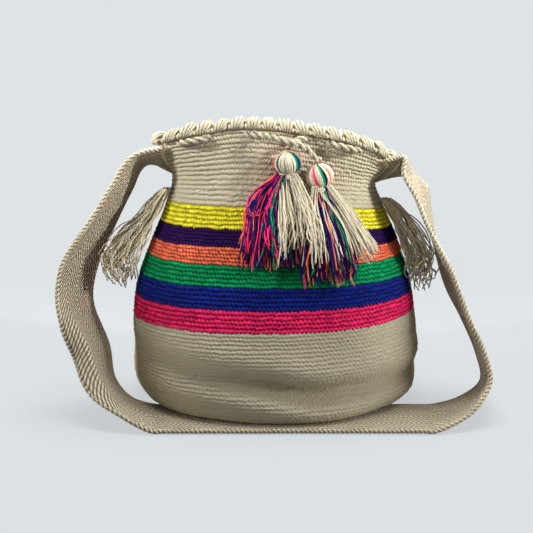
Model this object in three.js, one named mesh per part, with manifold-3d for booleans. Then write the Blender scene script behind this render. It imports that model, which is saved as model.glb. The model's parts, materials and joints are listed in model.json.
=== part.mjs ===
// A crocheted drawstring bucket bag with a wide woven shoulder strap. Millimetres, +Z up.
// It stands on its round base with its front towards -Y. The origin is the middle of the base, on the floor.
import * as THREE from "three";
import { ParametricGeometry } from "three/addons/geometries/ParametricGeometry.js";
import { mergeVertices } from "three/addons/utils/BufferGeometryUtils.js";
import Module from "manifold-3d";

const wasm = await Module();
wasm.setup();

// Driving dimensions of the crocheted body.
const BAG_WALL = 5;
const ROUND_HEIGHT = 4.6; // one round of crochet, measured up the wall
const ROUNDS_IN_RIDGE = 1.5; // rounds from a groove to the next crest
const RIDGE_RELIEF = 1;
const WALL_SLICES = 56;
const MOUTH_HEIGHT = 262; // the last plain round, at the side of the mouth
const NECK_HEIGHT = 222; // the narrowest round
const CORNER_HEIGHT = 12; // where the base turns up into the wall
// Height, half width, half depth and squareness of the wall's outer face, from the base up to the mouth.
const BODY_OUTLINE = [
  [0, 113, 99, 2.1],
  [5, 126, 110, 2.1],
  [CORNER_HEIGHT, 134, 114.5, 2.1],
  [26, 141, 115, 2.1],
  [45, 141, 111, 2.1],
  [85, 139, 103, 2.1],
  [120, 134, 90, 2.15],
  [160, 120.5, 67, 2.25],
  [195, 106, 49, 2.4],
  [NECK_HEIGHT, 98.5, 41, 2.9],
  [240, 105, 40.5, 3.8],
  [MOUTH_HEIGHT, 114.5, 42, 5],
];
// The mouth rises to a crown a little left of its middle: place across and rise.
const CROWN = [
  [-120, -6],
  [-100, 1],
  [-80, 6.5],
  [-60, 10],
  [-40, 13.5],
  [-25, 14],
  [0, 12.5],
  [25, 9],
  [50, 4.5],
  [75, -1.5],
  [100, -12],
  [120, -27],
];
const CROWN_STARTS = 190;
const MOUTH_TILT = 0.16; // the front of the mouth stands higher than its back
const MOUTH_BOW = 0.0019;
// The wall sags into a crease low on its front and right: place across, height and depth.
const CREASE_LINE = [
  [-130, 60, 1],
  [-90, 53, 4],
  [-35, 46, 6],
  [5, 39, 8.5],
  [31, 34, 9.5],
  [74, 34, 8.5],
  [110, 36, 6],
  [140, 33, 6],
];
const CREASE_WIDTH = 9;
const CREASE_BACK = 40;
const SEAT_GAP = 0.3; // between pieces that touch

// Driving dimensions of the shell edging round the mouth.
const SHELL_COUNT = 36;
const SHELL_SLICES = 3;
const SHELL_ROOT = 3.2; // radius between two shells
const SHELL_SWELL = 2.2; // what a shell adds to it
const EDGING_SIDES = 6;

// Driving dimensions of the drawstring.
const CORD_DIAMETER = 6.5;
const CORD_SIDES = 8;
const CORD_DROP = 7; // from the last plain round down to the eyelets
const CORD_STEPS = 84;
const EYELET_PLAY = 0.5;
// Where the cord lies outside the wall, as places across of each run's middle, and half a run's length.
const FRONT_RUN_LEFT = -77;
const FRONT_RUN_RIGHT = 66;
const BACK_RUNS = [-66, -22, 22, 66];
const HALF_RUN = 9;
const CROSSING = 13; // length over which the cord passes through the wall

// Driving dimensions of the shoulder strap.
const STRAP_WIDTH = 75;
const STRAP_THICKNESS = 5.5;
const STRAP_PEEK = 11.5; // how far the strap shows in front of the base
const WEAVE_PITCH = 14; // one chevron of the weave along the strap
const WEAVE_RELIEF = 0.7;
const WEAVE_SLANT = 0.6; // how far a chevron's legs lean along the strap for each millimetre across
const STRAP_LAP = 45; // the length over which the strap's end curves round the side of the mouth
const SLOT_PLAY = 0.5;
const SEAM_PLAY = 2.3; // between the strap's end and the crest of the wall's ridges
// The strap's section from its front edge to its back edge: share of the half width, share of the thickness.
const STRAP_SECTION = [[-1, 0.5], [-0.5, 1], [0, 0.9], [0.5, 1], [1, 0.5]];

// Driving dimensions of the tassels and fringes.
const HEAD_RADIUS = 12.5;
const HEAD_TOP_RADIUS = 3.4;
const TASSEL_NECK_RADIUS = 7.5;
const TIE_THICKNESS = 2.2;
const TIE_WIDTH = 7;
const TIE_SLICES = 16;
const YARN_FLUTES = 9;
const FLUTE_SLICES = 3;
const FLUTE_DEPTH = 0.1;
const TASSEL_CLEARANCE = 1.6; // from the wall to the yarn that hangs against it

const half = (size) => size / 2;
const cordRadius = half(CORD_DIAMETER);
const LEVEL_STEPS = 6; // to find the round that reaches a level
const slotHeight = STRAP_THICKNESS + WEAVE_RELIEF + SLOT_PLAY;
const clamp = THREE.MathUtils.clamp;
const smooth = THREE.MathUtils.smoothstep;
const radians = THREE.MathUtils.degToRad;

// Smooth values between stations, each a list that starts with its place.
function stationCurve(stations) {
  return new THREE.CubicInterpolant(
    stations.map((row) => row[0]),
    stations.flatMap((row) => row.slice(1)),
    stations[0].length - 1,
  );
}

const bodyCurve = stationCurve(BODY_OUTLINE);
const crownCurve = stationCurve(CROWN);
const creaseCurve = stationCurve(CREASE_LINE);

function outlineAt(height) {
  const [halfWidth, halfDepth, squareness] = bodyCurve.evaluate(clamp(height, 0, MOUTH_HEIGHT));
  return { halfWidth, halfDepth, squareness };
}

// How far a round is lifted above its own height by the crown and the tilt of the mouth.
function liftAt(x, y, height) {
  const [crown] = crownCurve.evaluate(x);
  return (crown - MOUTH_TILT * y - MOUTH_BOW * y ** 2) * smooth(height, CROWN_STARTS, MOUTH_HEIGHT);
}

function creaseAt(x, y, height) {
  const [line, depth] = creaseCurve.evaluate(x);
  return depth * Math.exp(-(((height - line) / CREASE_WIDTH) ** 2)) * (1 - smooth(y, -CREASE_BACK, CREASE_BACK));
}

// A point of the wall, a turn round the bag from its right side, at a height, pushed out by some millimetres.
function wallPoint(turn, height, out = 0) {
  const { halfWidth, halfDepth, squareness } = outlineAt(height);
  const across = Math.cos(turn);
  const deep = Math.sin(turn);
  const square = (Math.abs(across) ** squareness + Math.abs(deep) ** squareness) ** (-1 / squareness);
  const push = out - creaseAt(halfWidth * across * square, halfDepth * deep * square, height);
  const x = (halfWidth + push) * across * square;
  const y = (halfDepth + push) * deep * square;
  return new THREE.Vector3(x, y, height + liftAt(x, y, height));
}

// How far the wall's side lies from the middle, at a depth and a level. The side is 1 on the right and -1 on the left.
function sideAt(side, y, level) {
  let height = level;
  for (let step = 0; step < LEVEL_STEPS; step++) {
    height = level - liftAt(side * outlineAt(height).halfWidth, y, height);
  }
  const { halfWidth, halfDepth, squareness } = outlineAt(height);
  const share = Math.min(Math.abs(y) / halfDepth, 0.985);
  return halfWidth * (1 - share ** squareness) ** (1 / squareness);
}

// How far forward the wall's front lies, at a place across and a height.
function frontAt(x, height) {
  const { halfWidth, halfDepth, squareness } = outlineAt(height);
  const share = Math.min(Math.abs(x) / halfWidth, 0.985);
  return -halfDepth * (1 - share ** squareness) ** (1 / squareness);
}

const frontCorner = frontAt(0, CORNER_HEIGHT);
const strapFrontY = frontCorner - STRAP_PEEK;
const strapBackY = strapFrontY + STRAP_WIDTH;
const strapRunY = strapFrontY + half(STRAP_WIDTH);
const strapRunZ = half(slotHeight);

// One closed body from a geometry: its doubled points are merged and its flat triangles dropped.
function solidOf(geometry) {
  const bare = geometry.clone();
  bare.deleteAttribute("normal");
  bare.deleteAttribute("uv");
  const merged = mergeVertices(bare, 1e-3);
  const corners = merged.index.array;
  const kept = [];
  for (let i = 0; i < corners.length; i += 3) {
    const [a, b, c] = corners.subarray(i, i + 3);
    if (a !== b && b !== c && c !== a) kept.push(a, b, c);
  }
  return new wasm.Manifold(
    new wasm.Mesh({
      numProp: 3,
      vertProperties: merged.attributes.position.array,
      triVerts: new Uint32Array(kept),
    }),
  );
}

function geometryOf(solid) {
  const { vertProperties, triVerts } = solid.getMesh();
  const geometry = new THREE.BufferGeometry();
  geometry.setAttribute("position", new THREE.BufferAttribute(new Float32Array(vertProperties), 3));
  geometry.setIndex(new THREE.BufferAttribute(new Uint32Array(triVerts), 1));
  geometry.computeVertexNormals();
  return geometry;
}

// What closes the end of a ring: its middle, or for a flat ring the line halfway between its two faces.
function middleOf(ring) {
  const sum = ring.reduce((total, point) => total.add(point), new THREE.Vector3());
  return ring.map(() => sum.clone().divideScalar(ring.length));
}

function midlineOf(ring) {
  return ring.map((point, i) => point.clone().lerp(ring[ring.length - 1 - i], 0.5));
}

// A closed surface of rings, each a list of points round the same way.
function ringSolid(rings, endOf = middleOf) {
  const around = rings[0].length;
  const all = [endOf(rings[0]), ...rings, endOf(rings[rings.length - 1])];
  const surface = new ParametricGeometry(
    (u, v, target) => {
      target.copy(all[Math.round(v * (all.length - 1))][Math.round(u * around) % around]);
    },
    around,
    all.length - 1,
  );
  return solidOf(surface);
}

// A round cord along a smooth line through its points.
function cordSolid(points, radius, steps) {
  const turned = (i) => (i + 0.5) * ((2 * Math.PI) / CORD_SIDES);
  const section = Array.from(
    { length: CORD_SIDES },
    (_, i) => new THREE.Vector2(radius * Math.cos(turned(i)), radius * Math.sin(turned(i))),
  );
  const path = new THREE.CatmullRomCurve3(points);
  return solidOf(
    new THREE.ExtrudeGeometry(new THREE.Shape(section), { extrudePath: path, steps, bevelEnabled: false }),
  );
}

// The crocheted wall and base as one skin: up the outside, over the top and down the inside.
function bodyWall() {
  const around = Array.from({ length: WALL_SLICES }, (_, i) => (i / WALL_SLICES) * 2 * Math.PI);
  const ringSpacing = ROUND_HEIGHT * ROUNDS_IN_RIDGE;
  const outerRings = Math.round(MOUTH_HEIGHT / ringSpacing);
  const innerRings = Math.round(outerRings / 1.5);
  const floorShares = [0.35, 0.7, 0.9];
  const innerFloor = (y) => BAG_WALL + slotHeight * (1 - smooth(y, strapBackY, strapBackY + BAG_WALL * 6));
  const rings = floorShares.map((share) =>
    around.map((turn) => wallPoint(turn, 0).multiply(new THREE.Vector3(share, share, 1))),
  );
  for (let i = 0; i <= outerRings; i++) {
    const relief = i % 2 === 1 && i < outerRings ? RIDGE_RELIEF : 0;
    rings.push(around.map((turn) => wallPoint(turn, (i / outerRings) * MOUTH_HEIGHT, relief)));
  }
  const lowest = BAG_WALL + slotHeight;
  for (let i = innerRings; i >= 0; i--) {
    const height = lowest + (i / innerRings) * (MOUTH_HEIGHT - lowest);
    rings.push(around.map((turn) => wallPoint(turn, height, -BAG_WALL)));
  }
  for (const share of floorShares.slice().reverse()) {
    rings.push(
      around.map((turn) => {
        const point = wallPoint(turn, lowest, -BAG_WALL);
        return new THREE.Vector3(point.x * share, point.y * share, innerFloor(point.y * share));
      }),
    );
  }
  return ringSolid(rings);
}

// The shell edging that is worked on round the mouth.
function shellEdging() {
  const around = SHELL_COUNT * SHELL_SLICES;
  const surface = new ParametricGeometry(
    (u, v, target) => {
      const slice = Math.round(u * around) % around;
      const side = (Math.round(v * EDGING_SIDES) / EDGING_SIDES) * 2 * Math.PI;
      const turn = (slice / around) * 2 * Math.PI;
      const radius = SHELL_ROOT + (slice % SHELL_SLICES === 1 ? SHELL_SWELL : 0);
      target.copy(wallPoint(turn, MOUTH_HEIGHT, -half(BAG_WALL) - radius * Math.cos(side)));
      target.z += radius * (1 - Math.sin(side)) - half(BAG_WALL);
    },
    around,
    EDGING_SIDES,
  );
  return solidOf(surface);
}

// The free ends of the drawstring at the front, each as places across, in front of the mouth and below its last
// plain round. The left end is short. The right one passes over it to the right tassel.
const SHORT_END = [[25, 5, -5], [19, 9.5, -3], [14, 12.5, 0.5]];
const LONG_END = [
  [-14, 5, -8],
  [-6, 11, -8.5],
  [4, 16.5, -6.5],
  [14, 18.5, -4],
  [24, 18.5, -1],
  [31.5, 17.5, 3.5],
  [36, 16, 9.5],
];

// The drawstring's whole way: from the right tassel to the mouth, round it to the left, and out to the left tassel.
function drawstringPoints() {
  const height = MOUTH_HEIGHT - CORD_DROP;
  const outside = RIDGE_RELIEF + cordRadius + EYELET_PLAY + SEAT_GAP;
  const inside = -BAG_WALL - cordRadius - EYELET_PLAY - SEAT_GAP;
  const along = (face) => (x, out) => {
    const y = face * (Math.abs(frontAt(x, height)) + out);
    return new THREE.Vector3(x, y, height + liftAt(x, y, height));
  };
  const [front, back] = [along(-1), along(1)];
  const run = (line, middle, way) => [
    line(middle - way * (HALF_RUN + CROSSING), inside),
    line(middle - way * HALF_RUN, outside),
    line(middle + way * HALF_RUN, outside),
  ];
  const roundSide = (from, to) =>
    [0, 0.25, 0.5, 0.75, 1].map((share) => wallPoint(from + (to - from) * share, height, inside));
  const freeEnd = (places) =>
    places.map(([x, forward, drop]) => new THREE.Vector3(x, frontAt(0, MOUTH_HEIGHT) - forward, MOUTH_HEIGHT - drop));
  const seat = (tassel) => tasselTop(tassel).add(new THREE.Vector3(0, 0, SEAT_GAP + 0.9 * cordRadius));
  return [
    seat(FRONT_TASSELS.right),
    ...freeEnd(LONG_END).reverse(),
    ...run(front, FRONT_RUN_LEFT, -1),
    ...roundSide(1.22 * Math.PI, 0.78 * Math.PI),
    ...BACK_RUNS.flatMap((middle) => run(back, middle, 1)),
    ...roundSide(0.22 * Math.PI, -0.22 * Math.PI),
    ...run(front, FRONT_RUN_RIGHT, -1),
    front(FRONT_RUN_RIGHT - HALF_RUN - CROSSING, inside),
    ...freeEnd(SHORT_END),
    seat(FRONT_TASSELS.left),
  ];
}

function drawstringSolid(radius) {
  return cordSolid(drawstringPoints(), radius, CORD_STEPS);
}

// The recess under the front of the base, where the bag stands on its own strap.
function strapSlot() {
  const { halfWidth } = outlineAt(CORNER_HEIGHT);
  const deep = STRAP_WIDTH + 2 * STRAP_PEEK;
  const slot = new THREE.BoxGeometry(4 * halfWidth, deep, 2 * slotHeight);
  slot.translate(0, strapBackY + SLOT_PLAY - half(deep), 0);
  return solidOf(slot);
}

function bagBody() {
  return bodyWall()
    .add(shellEdging())
    .subtract(drawstringSolid(cordRadius + EYELET_PLAY))
    .subtract(strapSlot());
}

// The strap's stations on one side, from the mouth down to the floor. Each has how far its middle stands out from
// the bag's side, its depth, its drop below the mouth (or its height where that is given instead), and how far
// its width is turned inwards and dips towards the back, in degrees.
const LEFT_RISER = [
  { out: 30, y: -6, drop: 19, turn: 4, dip: 15 },
  { out: 51, y: -11, drop: 50, turn: 14, dip: 13 },
  { out: 57, y: -18, drop: 83, turn: 19, dip: 8 },
  { out: 62, y: -27, drop: 122, turn: 22, dip: 14 },
  { out: 59, y: -38, height: 105, turn: 27, dip: 11 },
  { out: 42, y: -55, height: 64, turn: 28, dip: 13 },
  { out: 27, y: -70, height: 34, turn: 18, dip: 13 },
  { out: 8, y: -82, height: 14, turn: 9, dip: 8 },
];
const RIGHT_RISER = [
  { out: 19, y: -6, drop: 32, turn: -7, dip: 24 },
  { out: 36, y: -8, drop: 44, turn: -11, dip: 19 },
  { out: 42, y: -11, drop: 62, turn: -10, dip: 18 },
  { out: 37.5, y: -15, drop: 91, turn: -3, dip: 22 },
  { out: 38.5, y: -22, drop: 140, turn: -1, dip: 22 },
  { out: 48, y: -30, height: 89, turn: -3, dip: 18 },
  { out: 61, y: -40, height: 55, turn: -2, dip: 17 },
  { out: 65, y: -52, height: 30, turn: -1, dip: 18 },
  { out: 52, y: -72, height: 12, turn: 3, dip: 9 },
];
const LEFT_SEAM = { drop: 24, y: -5, dip: 32, turn: 8 };
const RIGHT_SEAM = { drop: 36, y: -5, dip: 26, turn: -11 };
const FLOOR_RUN = [-0.86, -0.78, -0.3, 0.3, 0.97, 1.05, 1.13]; // shares of the base's half width

// The front and back edges of the strap at one station.
function strapStation({ x, y, z, turn, dip }, side) {
  const across = new THREE.Vector3(
    -side * Math.sin(radians(turn)) * Math.cos(radians(dip)),
    Math.cos(radians(turn)) * Math.cos(radians(dip)),
    -Math.sin(radians(dip)),
  );
  const middle = new THREE.Vector3(x, y, z);
  return {
    front: middle.clone().addScaledVector(across, -half(STRAP_WIDTH)),
    back: middle.clone().addScaledVector(across, half(STRAP_WIDTH)),
  };
}

function riserStations(seam, riser, side) {
  return [{ ...seam, out: 0 }, ...riser].map((station) => {
    const z = station.height ?? MOUTH_HEIGHT - station.drop;
    return strapStation({ ...station, z, x: side * (sideAt(side, 0, z) + station.out) }, side);
  });
}

function strapStations() {
  const { halfWidth } = outlineAt(CORNER_HEIGHT);
  const flat = FLOOR_RUN.map((share) =>
    strapStation({ x: share * halfWidth, y: strapRunY, z: strapRunZ, turn: 0, dip: 0 }, 1),
  );
  return [
    ...riserStations(LEFT_SEAM, LEFT_RISER, -1),
    ...flat,
    ...riserStations(RIGHT_SEAM, RIGHT_RISER, 1).reverse(),
  ];
}

function shoulderStrap() {
  const stations = strapStations();
  const edges = ["front", "back"].map((edge) => new THREE.CatmullRomCurve3(stations.map((row) => row[edge])));
  const middle = new THREE.CatmullRomCurve3(
    stations.map((row) => row.front.clone().lerp(row.back, 0.5)),
  );
  middle.arcLengthDivisions = 40 * stations.length;
  const length = middle.getLength();
  const rows = 2 * Math.round(length / WEAVE_PITCH);
  // The strap's middle surface at a length along it and a share of its half width.
  const at = (along, share) => {
    const t = middle.getUtoTmapping(clamp(along / length, 0, 1));
    const front = edges[0].getPoint(t);
    const back = edges[1].getPoint(t);
    const point = front.clone().lerp(back, half(1 + share));
    const normal = middle.getTangent(t).cross(back.sub(front)).normalize();
    return { point, normal };
  };
  // What brings each end's edge in against the bag's side.
  const lapAt = (end, share) => {
    const { point, normal } = at(end, share);
    const side = Math.sign(point.x);
    const walls = [-1, 0, 1].map((face) => {
      const { y, z } = point.clone().addScaledVector(normal, face * half(STRAP_THICKNESS));
      return sideAt(side, y, z);
    });
    return side * (Math.max(...walls) + RIDGE_RELIEF + SEAM_PLAY) - point.x;
  };
  const rings = [];
  for (let i = 0; i <= rows; i++) {
    const mark = (i / rows) * length;
    const fade = Math.min(1, mark / STRAP_LAP, (length - mark) / STRAP_LAP);
    const relief = i % 2 === 0 ? -half(WEAVE_RELIEF) : half(WEAVE_RELIEF);
    const face = (side) =>
      STRAP_SECTION.map(([share, thick]) => {
        const along = mark + WEAVE_SLANT * half(STRAP_WIDTH) * Math.abs(share) * fade;
        const { point, normal } = at(along, share);
        const lap = mark < half(length) ? [0, 1 - mark / STRAP_LAP] : [length, 1 - (length - mark) / STRAP_LAP];
        point.x += lapAt(lap[0], share) * smooth(lap[1], 0, 1);
        return point.addScaledVector(normal, side * (half(STRAP_THICKNESS) * thick + relief * half(thick)));
      });
    rings.push([...face(-1), ...face(1).reverse()]);
  }
  return ringSolid(rings, midlineOf);
}

// A bundle of yarn. Each level has its middle, its half width, its half thickness and how deep its flutes are.
function yarnBundle(levels) {
  const around = YARN_FLUTES * FLUTE_SLICES;
  const rings = levels.map(({ x, y, z, wide, thick, fluted = 1 }) =>
    Array.from({ length: around }, (_, i) => {
      const turn = -(i / around) * 2 * Math.PI;
      const flute = 1 - (i % FLUTE_SLICES === 0 ? FLUTE_DEPTH * fluted : 0);
      return new THREE.Vector3(x + wide * flute * Math.cos(turn), y + thick * flute * Math.sin(turn), z);
    }),
  );
  return ringSolid(rings);
}

// A front tassel hangs against the wall: it has a round head, a tied neck and a skirt that spreads downwards.
const FRONT_TASSELS = {
  left: {
    head: { x: 12.5, drop: 16.5 },
    skirt: [
      { x: 10, drop: 40, wide: 18, thick: 11 },
      { x: 5.5, drop: 61, wide: 27, thick: 13 },
      { x: 1, drop: 85, wide: 31.5, thick: 14 },
      { x: 0, drop: 105, wide: 32, thick: 13 },
      { x: 1, drop: 115, wide: 28, thick: 11 },
    ],
  },
  right: {
    head: { x: 42.5, drop: 29 },
    skirt: [
      { x: 51, drop: 54, wide: 16.5, thick: 11 },
      { x: 60, drop: 75, wide: 25, thick: 13 },
      { x: 68, drop: 92, wide: 33, thick: 14 },
      { x: 67, drop: 112, wide: 32, thick: 13 },
      { x: 63, drop: 129, wide: 26, thick: 11 },
    ],
  },
};
const HEAD_LEVELS = [1, 0.86, 0.45, 0, -0.45]; // heights in the head, as shares of its radius

function hangingY(x, z, thick) {
  return frontAt(x, z) - RIDGE_RELIEF - TASSEL_CLEARANCE - thick;
}

function tasselHead({ head }) {
  const z = MOUTH_HEIGHT - head.drop;
  return { x: head.x, y: hangingY(head.x, z, HEAD_RADIUS), z };
}

function tasselTop(tassel) {
  const { x, y, z } = tasselHead(tassel);
  return new THREE.Vector3(x, y, z + HEAD_RADIUS);
}

function tasselNeck(tassel) {
  const { x, y, z } = tasselHead(tassel);
  return new THREE.Vector3(x, y, z - HEAD_RADIUS);
}

function tasselLevels(tassel) {
  const middle = tasselHead(tassel);
  const neckAt = tasselNeck(tassel);
  const ball = HEAD_LEVELS.map((share) => {
    const round = Math.sqrt(1 - share ** 2);
    const radius = Math.max(HEAD_RADIUS * round, HEAD_TOP_RADIUS);
    return { ...middle, z: middle.z + HEAD_RADIUS * share, wide: radius, thick: radius, fluted: round };
  });
  const neck = [half(TIE_WIDTH), -half(TIE_WIDTH)].map((rise) => {
    return { ...neckAt, z: neckAt.z + rise, wide: TASSEL_NECK_RADIUS, thick: TASSEL_NECK_RADIUS, fluted: 0 };
  });
  const hanging = tassel.skirt.map(({ x, drop, wide, thick }) => {
    const z = MOUTH_HEIGHT - drop;
    return { x, z, wide, thick, y: hangingY(Math.abs(x) - wide, z, thick) };
  });
  return [...ball, ...neck, ...hanging];
}

// The yarn that is wound round a tassel's neck.
function tasselTie() {
  const inner = TASSEL_NECK_RADIUS + SEAT_GAP;
  const outer = inner + TIE_THICKNESS;
  const profile = [
    [inner, -half(TIE_WIDTH)],
    [outer - half(TIE_THICKNESS), -half(TIE_WIDTH)],
    [outer, 0],
    [outer - half(TIE_THICKNESS), half(TIE_WIDTH)],
    [inner, half(TIE_WIDTH)],
    [inner, -half(TIE_WIDTH)],
  ];
  const ring = new THREE.LatheGeometry(
    profile.map(([r, z]) => new THREE.Vector2(r, z)),
    TIE_SLICES,
  );
  ring.rotateX(half(Math.PI));
  return solidOf(ring);
}

// The fringe of yarn ends that hangs from each end of the strap, between the strap and the bag's side.
const SIDE_FRINGES = {
  left: [
    { out: 12, y: -14, drop: 59, wide: 7, thick: 6 },
    { out: 19, y: -18, drop: 80, wide: 10, thick: 7.5 },
    { out: 23, y: -21, drop: 93, wide: 14, thick: 8.5 },
    { out: 29.5, y: -25, drop: 120, wide: 17, thick: 8.5 },
    { out: 22, y: -27, drop: 136, wide: 14, thick: 7 },
  ],
  right: [
    { out: 12, y: -14, drop: 69, wide: 8, thick: 6 },
    { out: 16.5, y: -17, drop: 80, wide: 11, thick: 7.5 },
    { out: 19, y: -22, drop: 106, wide: 14.5, thick: 8.5 },
    { out: 17.5, y: -25, drop: 124, wide: 14.5, thick: 8.5 },
    { out: 14, y: -28, drop: 138, wide: 11, thick: 7 },
  ],
};
const KNOT_RADIUS = 5;
const KNOT_LENGTH = 10;

function sideFringe(levels, side) {
  const [first] = levels;
  const knot = {
    out: KNOT_RADIUS + RIDGE_RELIEF + SEAT_GAP,
    y: first.y,
    drop: first.drop - KNOT_LENGTH,
    wide: KNOT_RADIUS,
    thick: KNOT_RADIUS,
    fluted: 0,
  };
  return yarnBundle(
    [knot, ...levels].map(({ out, drop, ...rest }) => {
      const z = MOUTH_HEIGHT - drop;
      return { ...rest, z, x: side * (sideAt(side, rest.y, z) + out) };
    }),
  );
}

// The stripes of the crochet, each from its lower edge up.
const NATURAL = 0xc7bfa2;
const STRIPES = [
  [0, NATURAL],
  [91, 0xe0245e],
  [111, 0x16268a],
  [130.5, 0x04935a],
  [149, 0xf5653a],
  [165, 0x3a0f6b],
  [180.5, 0xe6dc33],
  [200.5, NATURAL],
];

function paintStripes(geometry) {
  const { position } = geometry.attributes;
  const colours = [];
  for (let i = 0; i < position.count; i++) {
    const stripe = STRIPES.findLast(([from]) => position.getZ(i) >= from) ?? STRIPES[0];
    colours.push(...new THREE.Color(stripe[1]).toArray());
  }
  geometry.setAttribute("color", new THREE.Float32BufferAttribute(colours, 3));
}

function named(name, solid, colour, roughness = 0.9) {
  const material = new THREE.MeshStandardMaterial({ color: colour, roughness, metalness: 0 });
  const mesh = new THREE.Mesh(geometryOf(solid), material);
  mesh.name = name;
  return mesh;
}

const bag = new THREE.Group();
const body = named("bag_body", bagBody(), 0xffffff, 0.95);
body.material.vertexColors = true;
paintStripes(body.geometry);
bag.add(body);
bag.add(named("shoulder_strap", shoulderStrap(), 0xbdb295, 0.92));
bag.add(named("drawstring", drawstringSolid(cordRadius), 0xb8ab89));

for (const [side, tassel] of Object.entries(FRONT_TASSELS)) {
  bag.add(named(`front_tassel_${side}`, yarnBundle(tasselLevels(tassel)), 0xd8ccb4));
  const tie = named(`tassel_tie_${side}`, tasselTie(), 0xcfc3a8);
  tie.position.copy(tasselNeck(tassel));
  bag.add(tie);
}
for (const [side, levels] of Object.entries(SIDE_FRINGES)) {
  bag.add(named(`side_fringe_${side}`, sideFringe(levels, side === "left" ? -1 : 1), 0xc4b795));
}

export default bag;
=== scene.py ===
import json
import math

import bpy
import numpy as np
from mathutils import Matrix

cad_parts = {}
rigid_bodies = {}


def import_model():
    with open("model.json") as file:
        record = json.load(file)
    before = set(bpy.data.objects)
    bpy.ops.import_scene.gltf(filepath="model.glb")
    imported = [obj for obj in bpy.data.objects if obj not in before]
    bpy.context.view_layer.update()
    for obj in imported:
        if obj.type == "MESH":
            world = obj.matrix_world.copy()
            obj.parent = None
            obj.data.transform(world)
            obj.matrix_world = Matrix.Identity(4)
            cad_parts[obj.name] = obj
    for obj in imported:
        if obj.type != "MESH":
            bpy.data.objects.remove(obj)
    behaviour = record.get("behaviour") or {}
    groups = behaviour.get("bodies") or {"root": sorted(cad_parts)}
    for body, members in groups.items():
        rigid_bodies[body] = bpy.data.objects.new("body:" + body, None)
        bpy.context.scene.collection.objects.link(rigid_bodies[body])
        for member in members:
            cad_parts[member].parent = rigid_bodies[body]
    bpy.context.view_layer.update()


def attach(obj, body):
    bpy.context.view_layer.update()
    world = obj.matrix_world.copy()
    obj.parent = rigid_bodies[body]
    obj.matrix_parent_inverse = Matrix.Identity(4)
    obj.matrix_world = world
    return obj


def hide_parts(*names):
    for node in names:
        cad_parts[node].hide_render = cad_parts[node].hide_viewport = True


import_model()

bl_info = {
    "name": "Crochet drawstring shoulder bag",
    "version": (1, 0, 0),
    "blender": (4, 5, 0),
    "location": "View3D > Sidebar > Crochet bag",
    "description": "Builds a striped crochet bucket bag with a woven strap, a drawstring and yarn tassels",
    "category": "Add Mesh",
}

# The bag's own shape, in millimetres, as its CAD source has it.
MM = 0.001
BAG_WALL = 5
MOUTH_HEIGHT = 262
CORNER_HEIGHT = 12
# Height, half width, half depth and squareness of the wall's outer face, from the base up to the mouth.
BODY_OUTLINE = (
    (0, 113, 99, 2.1), (5, 126, 110, 2.1), (CORNER_HEIGHT, 134, 114.5, 2.1), (26, 141, 115, 2.1),
    (45, 141, 111, 2.1), (85, 139, 103, 2.1), (120, 134, 90, 2.15), (160, 120.5, 67, 2.25),
    (195, 106, 49, 2.4), (222, 98.5, 41, 2.9), (240, 105, 40.5, 3.8), (MOUTH_HEIGHT, 114.5, 42, 5),
)
CURVE_END = 0.985  # where an outline's curve is taken to end, as a share of its half length
# The mouth's rise over its own height: place across and rise. It also dips towards the back.
CROWN = (
    (-120, -6), (-100, 1), (-80, 6.5), (-60, 10), (-40, 13.5), (-25, 14), (0, 12.5), (25, 9), (50, 4.5),
    (75, -1.5), (100, -12), (120, -27),
)
CROWN_STARTS = 190
MOUTH_TILT, MOUTH_BOW = 0.16, 0.0019
# The sag in the lower front: place across, height and depth of the crease.
CREASE_LINE = (
    (-130, 60, 1), (-90, 53, 5), (-35, 45, 10.5), (5, 39, 14.5), (31, 34, 16), (74, 34, 12.5), (110, 36, 7),
    (140, 33, 6),
)
CREASE_WIDTH = 9
CREASE_BACK = 40  # how far behind the middle the crease has faded away
ROLL_SWELL = 0.3  # how far the cloth swells above and below the crease, as a share of its depth
RIDGE_RELIEF = 1
SEAT_GAP = 0.3

# Rounds of crochet: each stripe from its lower edge, with its yarn and how many rounds it has.
STRIPES = (
    ("natural_lower", "crochet_natural", "natural", 0, 25),
    ("pink", "crochet_pink", "pink", 91, 5),
    ("blue", "crochet_blue", "blue", 111, 5),
    ("green", "crochet_green", "green", 130.5, 5),
    ("orange", "crochet_orange", "orange", 149, 5),
    ("purple", "crochet_purple", "purple", 165, 5),
    ("yellow", "crochet_yellow", "yellow", 180.5, 5),
    ("natural_upper", "crochet_natural", "natural", 200.5, 16),
)
# How far the rounds climb towards the bag's left and right sides: height, then the climb at each side.
ROUND_CLIMB = (
    (0, 0, 0), (30, 0, 0), (60, -2, 1), (91, -2.7, 2.3), (111, -1.8, 1.2), (130, -1, 0.5), (149, 0, 0),
    (165, -0.5, -3), (180, -0.4, -5.4), (200, 0, -7.6), (230, 0, -4), (MOUTH_HEIGHT, 0, 0),
)
CLIMB_REACH = 112
SAMPLES_PER_STITCH, SAMPLES_PER_ROUND = 4, 6
STITCH_LEAN = 0.45  # stitches that a column moves sideways in one round
STITCH_WOBBLE = 0.85  # how far a stitch's head stands above the gap beside it
STITCH_PEAK = 0.75  # where the head stands highest, as a share of the stitch's width
ROW_WANDER = 0.42  # how far a line between two rounds strays, as a spread
# From so many rounds on, a stripe has fewer samples to a round and wider grooves.
TALL_STRIPE, TALL_SAMPLES = 20, 5
GROOVE_POWER, TALL_GROOVE_POWER = 1.7, 1.25
TONE_SPREAD = 0.34
LOOSE_SPREAD, LOOSE_SHARE = 0.42, 0.3  # how unevenly stitches stand out, as a share of the relief
BASE_ROUNDS, BASE_SAMPLES = 22, 4
BASE_HOLE = 0.004  # the share of the base's width at which its first round starts
SHELL_YARNS, SHELL_SPREAD, SHELL_SINK = 6, 0.62, 2.2
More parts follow.
